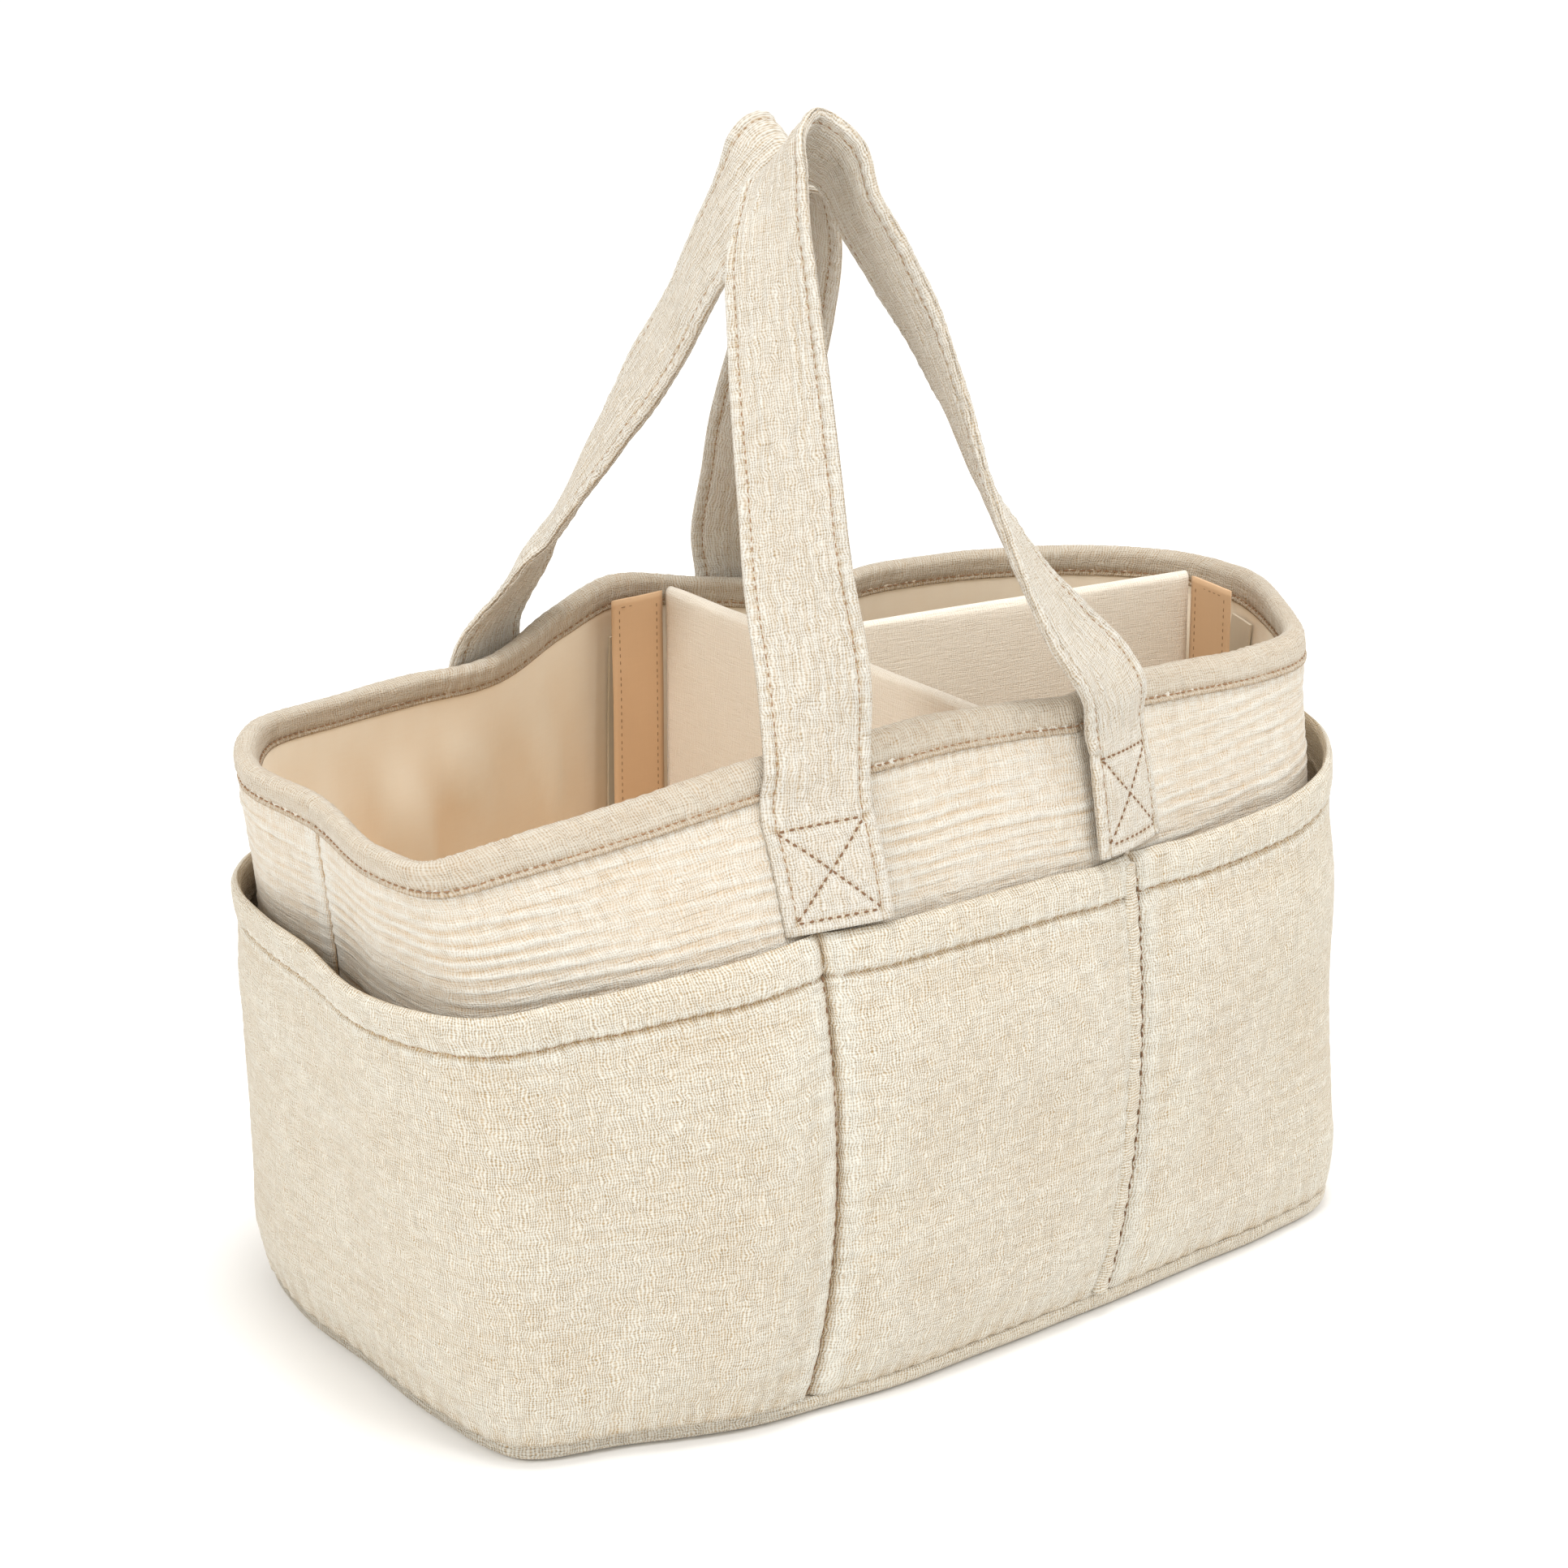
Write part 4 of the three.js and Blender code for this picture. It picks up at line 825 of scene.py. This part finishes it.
# Each point of a path: across, in and up as shares, and the strap's turn in quarters
HANDLES = {
    "front": dict(outward=-1, tabs=(-1.02, 1.02), rims=(-0.96, 0.95), turns=(0.06, 1.92), station=7.0,
                  depth=-0.077, height=1.0, slope=46, seed=101, path=[
        (-0.92, 0.08, 0.118, 0.3), (-0.87, 0.25, 0.293, 0.5), (-0.8, 0.385, 0.43, 0.57),
        (-0.725, 0.53, 0.578, 0.63), (-0.633, 0.69, 0.73, 0.7), (-0.55, 0.81, 0.846, 0.77),
        (-0.43, 0.91, 0.935, 0.84), (-0.33, 0.965, 0.985, 0.93), (-0.2, 1.0, 1.0, 1.0),
        (-0.02, 0.93, 0.96, 1.1), (0.06, 0.83, 0.863, 1.16), (0.157, 0.73, 0.775, 1.19),
        (0.283, 0.61, 0.655, 1.24), (0.367, 0.485, 0.53, 1.33), (0.45, 0.34, 0.38, 1.46),
        (0.583, 0.19, 0.233, 1.64), (0.733, 0.08, 0.123, 1.8)]),
    "back": dict(outward=1, tabs=(-1.12, 0.77), rims=(-1.11, 0.72), turns=(0.1, 1.86), station=23.0,
                 depth=0.203, height=0.975, slope=38, seed=151, path=[
        (-0.98, 0.1, 0.119, 0.2), (-0.93, 0.18, 0.19, 0.29), (-0.84, 0.24, 0.242, 0.37),
        (-0.74, 0.327, 0.335, 0.47), (-0.65, 0.415, 0.418, 0.56), (-0.57, 0.503, 0.5, 0.63),
        (-0.475, 0.616, 0.593, 0.68), (-0.4, 0.704, 0.675, 0.7), (-0.35, 0.78, 0.753, 0.72),
        (-0.29, 0.868, 0.835, 0.76), (-0.21, 0.95, 0.912, 0.82), (-0.1, 0.995, 0.97, 0.92),
        (0.05, 1.0, 1.0, 1.0), (0.16, 0.99, 0.974, 1.1), (0.25, 0.943, 0.9, 1.18),
        (0.317, 0.868, 0.806, 1.24), (0.367, 0.767, 0.707, 1.28), (0.408, 0.667, 0.613, 1.31),
        (0.45, 0.553, 0.518, 1.35), (0.483, 0.44, 0.424, 1.4), (0.527, 0.327, 0.325, 1.48),
        (0.592, 0.214, 0.215, 1.58), (0.667, 0.063, 0.073, 1.7)]),
}


def strap_beside(side, handle, along, z):
    """Centre and width direction of a strap where it lies along the wall."""
    centre = along * HALF_SPAN + SHIFT[0]
    left, mid, right = [skin_at(side, centre + k * STRAP_W, z) for k in (-0.5, 0, 0.5)]
    width = (right - left) * [1, 1, 0]
    width = width / np.linalg.norm(width)
    out = np.array([-width[1], width[0], 0]) * handle["outward"]
    swell = max(0.0, float(np.dot(mid - left, out)))
    return (left + right) / 2 + out * (swell + BINDING_OUT + TAB_GAP + STRAP_T / 2), width


def strap_frames(side):
    """Lengths, centres, widths and faces along a strap, its tabs' lengths and the wall behind them."""
    h = HANDLES[side]
    fold = rim_height(h["station"]) - TAB_DROP
    tab_drops = [TAB_HEIGHT - 0.5, TAB_HEIGHT * 0.66, TAB_HEIGHT * 0.33]
    ends = []
    for k in (0, 1):
        folded = strap_beside(side, h, h["tabs"][k], fold)
        column = [strap_beside(side, h, h["tabs"][k], fold - d) for d in tab_drops]
        over = rim_above(side, h["rims"][k] * HALF_SPAN + SHIFT[0])
        rim_point = strap_beside(side, h, h["rims"][k], over)[0]
        rim_point[2] = over + STRAP_T / 2
        ends.append((column, folded, rim_point))
    start, end = ends[0][2], ends[1][2]
    apex_y, apex_z = h["depth"] * HALF_DEPTH + SHIFT[1], h["height"] * HANDLE_TOP
    last = len(h["path"]) - 1
    middle = []
    for i, (across, inward, up, _) in enumerate(h["path"]):
        q = start + (end - start) * (i / last)
        middle.append([across * HALF_SPAN + SHIFT[0], q[1] + (apex_y - q[1]) * inward,
                       q[2] + (apex_z - q[2]) * up])
    path = ([c[0] for c in ends[0][0]] + [ends[0][1][0], start] + middle + [end, ends[1][1][0]]
            + [c[0] for c in ends[1][0][::-1]])
    turns = [0, 0, 0, 0, h["turns"][0]] + [e[3] for e in h["path"]] + [h["turns"][1], 2, 2, 2, 2]
    path = np.array(path)
    t = np.linspace(0, len(path) - 1, 4000)
    dense = spline(path, t, False)
    run = lengths_along(dense)
    want = np.linspace(0, run[-1], int(run[-1] / STRAP_STEP))
    at = np.interp(want, run, t)
    centre = spline(path, at, False)
    tangent = unit(np.gradient(centre, axis=0))
    knots = np.array(turns, float)[:, None].repeat(3, 1) + np.arange(len(turns))[:, None] * [0, 9.0, 0]
    turn = spline(knots, at, False)[:, 0]
    slope = math.radians(h["slope"])
    apex_edge = np.array([0, h["outward"] * math.cos(slope), math.sin(slope)])
    blend = ease((turn - 0.6) / 0.8)[:, None]
    flat = ends[0][1][1] * (1 - blend) + ends[1][1][1] * blend
    angle = turn[:, None] * math.pi / 2
    width = flat * np.cos(angle) + apex_edge * np.sin(angle)
    width = unit(width - tangent * np.sum(width * tangent, 1, keepdims=True))
    face = np.cross(tangent, width)
    tab_a, tab_b = np.interp(3, t, run), run[-1] - np.interp(len(path) - 4, t, run)
    hugs = []
    for k in (0, 1):
        x = h["tabs"][k] * HALF_SPAN + SHIFT[0]
        xs, zs = np.linspace(x - 24, x + 24, 13), np.linspace(fold - TAB_HEIGHT - 4, fold + 16, 8)
        face_y = np.array([[skin_at(side, a, b)[1] for b in zs] for a in xs])
        hugs.append((xs, zs, face_y, x))
    return want, centre, width, face, tab_a, tab_b, hugs, side


def strap_half(w, l, total, tab_a, tab_b, seed):
    """Half thickness of the strap at width w and length l, on one face."""
    a = np.abs(w)
    base = STRAP_HALF + np.where(a < SEWN_EDGE, STRAP_PLUMP * (1 - (a / SEWN_EDGE) ** 2), 0)
    edge = np.sqrt(np.clip(1 - (np.maximum(a - (STRAP_W / 2 - EDGE_ROUND), 0) / EDGE_ROUND) ** 2, 0, 1))
    thick = base * edge - 0.75 * bell((a - SEWN_EDGE) / 0.9)
    ridge = crinkle(l, w + 40, 3.6, seed, 26.0) * 0.55 + 0.16 * noise(l / 6, w / 2.2, seed + 5)
    lump = 0.3 * noise(l / 20, w / 9, seed + 9)
    loose = ease(np.minimum(l - tab_a, (total - l) - tab_b) / 10)
    thick = thick + (ridge * 0.9 - 0.2 + lump) * edge * (0.25 + 0.75 * loose)
    thick = thick + 0.25 * waves(l, 4.7, 3 * noise(l / 15, 0, seed + 12)) * bell((a - 16) / 2.0) * edge
    half = STRAP_W / 2 - BOX_MARGIN
    for end_l, size in ((l, tab_a), (total - l, tab_b)):
        low, high = BOX_LOW, size - BOX_DROP
        line = np.where(a < half + 0.5, np.minimum(np.abs(end_l - low), np.abs(end_l - high)), 99)
        share = (end_l - low) / (high - low)
        slope = half * 2 / (high - low)
        for sign in (1, -1):
            target = sign * (share * 2 - 1) * half
            line = np.minimum(line, np.abs(w - target) / math.sqrt(1 + slope * slope))
        thick = thick - np.where(end_l < size + 1.0, 0.7 * bell(line / 1.1) * edge, 0)
    return thick


def on_wall(hug, x, z):
    """The wall face's y at x and z, from the grid behind a tab."""
    xs, zs, face_y, _ = hug
    i = np.clip((x - xs[0]) / (xs[1] - xs[0]), 0, len(xs) - 1.001)
    j = np.clip((z - zs[0]) / (zs[1] - zs[0]), 0, len(zs) - 1.001)
    a, b = i.astype(int), j.astype(int)
    u, v = i - a, j - b
    return ((face_y[a, b] * (1 - u) + face_y[a + 1, b] * u) * (1 - v)
            + (face_y[a, b + 1] * (1 - u) + face_y[a + 1, b + 1] * u) * v)


def strap_point(frames, l, w, sign, seed):
    """Points and normals on one face of a strap; near its tabs they lie against the wall."""
    want, centre, width, face, tab_a, tab_b, hugs, side = frames
    total = want[-1]
    c, wd, fc = [line_at(v, want, l) for v in (centre, width, face)]
    cup = -1.3 * (w / 19.0) ** 2 * ease((np.minimum(l - tab_a, total - l - tab_b)) / 40)
    h = strap_half(w, l, total, tab_a, tab_b, seed + (0 if sign > 0 else OTHER_FACE))
    points = c + wd * w[..., None] + fc * (cup + sign * h)[..., None]
    outward = HANDLES[side]["outward"]
    facing = np.sign(fc[..., 1] * outward)
    for k, (end_l, size) in enumerate(((l, tab_a), (total - l, tab_b))):
        hold = 1 - ease((end_l - size + 2) / 16)
        x, z = points[..., 0], points[..., 2]
        lift = TAB_LIFT + TAB_YAW[side][k] * (x - hugs[k][3])
        y = on_wall(hugs[k], x, z) + outward * lift + outward * sign * facing * h
        points[..., 1] = points[..., 1] * (1 - hold) + y * hold
    return points, fc * sign


rim_steps = ROUNDED * (1 - np.cos(np.linspace(0, math.pi / 2, 6)))[:-1]
flat_edge, strap_edge = STRAP_W / 2 - ROUNDED, STRAP_W / 2
STRAP_ROWS = np.concatenate([-strap_edge + rim_steps, np.linspace(-flat_edge, flat_edge, 47),
                             strap_edge - rim_steps[::-1]])
for side in ("front", "back"):
    body, seed, outward = f"{side}_handle_loop", HANDLES[side]["seed"], HANDLES[side]["outward"]
    frames = strap_frames(side)
    want, _, _, face, tab_a, tab_b, _, _ = frames
    total, l, w = want[-1], want[:, None], STRAP_ROWS[None]
    upper, lower = [strap_point(frames, l, w, sign, seed)[0] for sign in (1, -1)]
    strap = loft(f"{side}_strap", rows_to_section(upper, lower)[:, ::-1], False)
    # painted shade: the strap's furrows are darker and warmer on both faces
    strap_furrow_shade = [hollows(strap_half(w, l, total, tab_a, tab_b, seed + k), 2, 0.75) for k in (0, OTHER_FACE)]
    paint_shade(strap, strap_furrow_shade[1], strap_furrow_shade[0])
    strap.data.materials.append(STRAP)
    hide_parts(f"{side}_handle", f"{side}_handle_tab_left", f"{side}_handle_tab_right")
    fold = rim_height(HANDLES[side]["station"]) - TAB_DROP
    hinge = next(j for j in frame["joints"] if j["name"] == f"{side}_handle_fold")
    y = hinge["pos_m"][1]
    start, end = (0, y, (fold - 2) / 1000), (0, y, (fold + 14) / 1000)
    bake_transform(strap)
    along = np.arange(SEWN_START, total - SEWN_START, STITCH_STEP)
    lines = [strap_point(frames, along, np.full(len(along), edge), sign, seed)
             for sign in (1, -1) for edge in (-SEWN_EDGE, SEWN_EDGE)]
    runs = dashes(f"{side}_strap_stitches", lines, 3.3, 2.2, 0.27)
    runs.data.materials.append(PALE_THREAD)
    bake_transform(runs)
    boxes = []
    for size, row in ((tab_a, 5), (tab_b, -5)):
        low, high, reach = BOX_LOW, size - BOX_DROP, BOX_REACH
        facing = 1 if np.dot(face[row], [0, outward, 0]) > 0 else -1
        for l0, w0, l1, w1 in ((low, -reach, low, reach), (high, -reach, high, reach),
                               (low, -reach, high, reach), (low, reach, high, -reach)):
            k = np.linspace(0, 1, 60)
            along = l0 + (l1 - l0) * k
            along = total - along if row < 0 else along
            boxes.append(strap_point(frames, along, w0 + (w1 - w0) * k, facing, seed))
    cross = dashes(f"{side}_tab_stitches", boxes, 3.2, 2.3, 0.46, 0.1)
    dress(cross, THREAD, "caddy", "webbing")


# Divider: linen sleeves over boards
def plate_of(name):
    """An upright CAD plate: start, way along and across, length, thickness, bottom and top."""
    co = np.array([v.co for v in frame["nodes"][name].data.vertices]) * 1000
    xy = co[:, :2]
    middle = xy.mean(0)
    run = np.linalg.svd(xy - middle, full_matrices=False)[2][0]
    if abs(run[0]) > abs(run[1]):
        run = run * np.sign(run[0])
    else:
        run = run * -np.sign(run[1])
    side = np.array([-run[1], run[0]])
    t, w = (xy - middle) @ run, (xy - middle) @ side
    mid = middle + side * (w.min() + w.max()) / 2
    first, last = mid + run * t.min(), mid + run * t.max()
    return (first, run, side, np.linalg.norm(last - first), w.max() - w.min(),
            co[:, 2].min(), co[:, 2].max())


def beside(plate, along, out, height):
    """Points at a length along a plate, a distance out of its middle and a height."""
    along, out, height = np.broadcast_arrays(along, out, height)
    first, run, side = plate[:3]
    return np.concatenate([first + run * along[..., None] + side * out[..., None], height[..., None]], -1)


SLEEVE_SHELL, SLEEVE_SWELL, SLEEVE_ROWS = 0.9, 0.5, 60
RIPPLE = 0.35


def sleeve_cloth(key, seed):
    """A divider panel's sleeve with softly uneven faces and a round top edge, and its plate."""
    plate = plate_of(f"divider_{key}_cover")
    length, thick, z0, z1 = plate[3:]
    half, n = thick / 2, SLEEVE_ROWS
    u = np.linspace(0.15, length - 0.15, max(8, int(length / 2.2)))
    up = np.linspace(z0 + 0.1, z1 - half, n)
    arc = np.linspace(0, math.pi, 11)[1:-1]
    levels = np.concatenate([up, z1 - half + np.sin(arc) * half, up[::-1]])
    offset = np.concatenate([np.full(n, -1.0), -np.cos(arc), np.full(n, 1.0)])[None]
    lift = np.concatenate([np.zeros(n), np.sin(arc), np.zeros(n)])[None]
    uu, zz = u[:, None], levels[None]
    puff = SLEEVE_SWELL * (0.5 + 0.5 * noise(uu / 60, zz / 60 + offset * 9, seed))
    ends = ease(np.minimum(uu, length - uu) / 4.0)
    wave = (0.35 * noise(uu / 34, zz / 44 + offset * 7, seed + 1)
            + 0.12 * noise(uu / 9, zz / 14 + offset * 7, seed + 2)) * ends
    outer = beside(plate, uu, offset * (half - 0.35 * (1 - ends) + puff * ends * 0.5 + wave),
                   zz + lift * 0.15 * noise(uu / 15, 2, seed + 3))
    inner = beside(plate, uu, offset * (half - SLEEVE_SHELL), np.minimum(zz, z1 - SLEEVE_SHELL * 1.1))
    sleeve = loft(f"divider_{key}_sleeve", rows_to_section(outer, inner), False)
    return dress(sleeve, LINEN, "divider", "divider_cloth", f"divider_{key}_cover"), plate


for key, seed in (("cross", 201), ("long", 211)):
    sleeve, plate = sleeve_cloth(key, seed)
    length, thick, z0, z1 = plate[3:]


def hanging_cloth(name, node_name, material, body, slot_name, seed, wave=0.5):
    """A thin upright strip with rounded edges and soft ripples, and the plate that it follows."""
    plate = plate_of(node_name)
    length, thick, z0, z1 = plate[3:]
    u = np.linspace(0, length, max(6, int(length / 1.6)))
    levels = np.linspace(z0, z1, max(8, int((z1 - z0) / 2.2)))
    half = thick / 2 * (ease(np.minimum(u, length - u) / 1.0) * 0.6 + 0.4)[:, None]
    ripple = np.clip(wave * noise(levels[None] / 30, u[:, None] / 14, seed), -RIPPLE, RIPPLE)
    grids = [beside(plate, u[:, None], sign * half + ripple, levels) for sign in (-1, 1)]
    strip = loft(name, rows_to_section(*grids), False)
    return dress(strip, material, body, slot_name, node_name), plate


HEM_IN = 3.0
for side, seed, panel in (("back", 221, "cross"), ("front", 231, "cross"), ("right", 241, "long")):
    body = f"{side}_flap_body"
    flap, plate = hanging_cloth(f"{side}_flap_cloth", f"{side}_flap", FLAP, body, "lining", seed)
    out, length, thick, z0, z1 = plate[2:]
    tape, _ = hanging_cloth(f"{side}_hook_strip", f"{side}_flap_hooks", TAPE, body, "tape", seed + 3, 0.05)
    lines = []
    levels, across = np.linspace(z0 + 2, z1 - HEM_IN, 200), np.linspace(HEM_IN, length - HEM_IN, 30)
    for sign in (-1, 1):
        runs = [(np.full(200, d), levels, np.clip(0.5 * noise(levels / 30, d / 14, seed), -RIPPLE, RIPPLE))
                for d in (HEM_IN, length - HEM_IN)] + [(across, np.full(30, z1 - HEM_IN), np.zeros(30))]
        for along, height, ripple in runs:
            normals = np.repeat(np.array([[out[0] * sign, out[1] * sign, 0]]), len(along), 0)
            lines.append((beside(plate, along, sign * thick / 2 + ripple, height), normals))
    dress(dashes(f"{side}_flap_stitches", lines, 2.8, 1.9, 0.2), PALE_THREAD, body, "lining")

for side in ("back", "front", "right"):
    source = frame["nodes"][f"{side}_lining_loops"]
    copy = bpy.data.objects.new(f"{side}_loop_strip", source.data.copy())
    bpy.context.scene.collection.objects.link(copy)
    bevel = copy.modifiers.new("Bevel", "BEVEL")
    bevel.width = 0.0003
    bevel.segments = 2
    dress(copy, TAPE, "caddy", "tape", f"{side}_lining_loops")

for name in ("base_board", "divider_cross_board", "divider_long_board"):
    o = frame["nodes"][name]
    o.data.materials.clear()
    o.data.materials.append(BOARD)

# Camera at the photograph's angle
scene = bpy.context.scene
camera = bpy.data.objects.new("camera", bpy.data.cameras.new("camera"))
scene.collection.objects.link(camera)
camera.data.lens, camera.data.sensor_width = 107.37, 36
camera.location = (-0.88483, -1.27035, 0.78394)
aim = Vector((0.00448, 0.01826, 0.16976)) - camera.location
camera.rotation_euler = aim.to_track_quat("-Z", "Y").to_euler()
camera.data.clip_end = 50
scene.camera = camera

# Floor, white backdrop and soft studio light
ground = bpy.data.meshes.new("floor")
ground.from_pydata([(-30, -30, 0), (30, -30, 0), (30, 30, 0), (-30, 30, 0)], [], [(0, 1, 2, 3)])
floor = bpy.data.objects.new("floor", ground)
scene.collection.objects.link(floor)
floor_paint = shader("floor_white", (0.93, 0.93, 0.93), Roughness=1.0, Specular_IOR_Level=0.0)[0]
ground.materials.append(floor_paint)

world = bpy.data.worlds.new("studio")
scene.world = world
world.use_nodes = True
tree = world.node_tree
tree.nodes.clear()
path = node(tree, "ShaderNodeLightPath")
soft = node(tree, "ShaderNodeBackground", {"Color": (1.0, 0.965, 0.915, 1), "Strength": 0.95})
white = node(tree, "ShaderNodeBackground", {"Color": (1, 1, 1, 1), "Strength": 1.0})
seen = maths(tree, "MAXIMUM", path.outputs["Is Camera Ray"], path.outputs["Is Glossy Ray"])
seen = maths(tree, "MAXIMUM", seen, path.outputs["Is Transmission Ray"])
chosen = node(tree, "ShaderNodeMixShader", {0: seen, 1: soft.outputs[0], 2: white.outputs[0]})
node(tree, "ShaderNodeOutputWorld", {"Surface": chosen.outputs[0]})


def area(name, place, size, power, colour=(1, 1, 1)):
    lamp = bpy.data.lights.new(name, "AREA")
    lamp.shape, lamp.size, lamp.energy, lamp.color = "DISK", size, power, colour
    o = bpy.data.objects.new(name, lamp)
    o.location = place
    o.rotation_euler = (Vector((0, 0, 0.15)) - Vector(place)).to_track_quat("-Z", "Y").to_euler()
    scene.collection.objects.link(o)


area("key", (-2.7, -0.6, 2.0), 0.8, 30, (0.98, 1.0, 1.0))
area("front", (0.4, -2.3, 2.6), 0.9, 14, (0.97, 0.99, 1.0))
area("top", (-0.1, -0.4, 3.1), 0.7, 30, (0.97, 0.99, 1.0))
area("fill", (2.6, -0.4, 1.5), 1.3, 14, (0.97, 0.99, 1.0))
scene.view_settings.view_transform = "Standard"
scene.view_settings.look = "None"
scene.view_settings.exposure = 0
scene.view_settings.gamma = 1
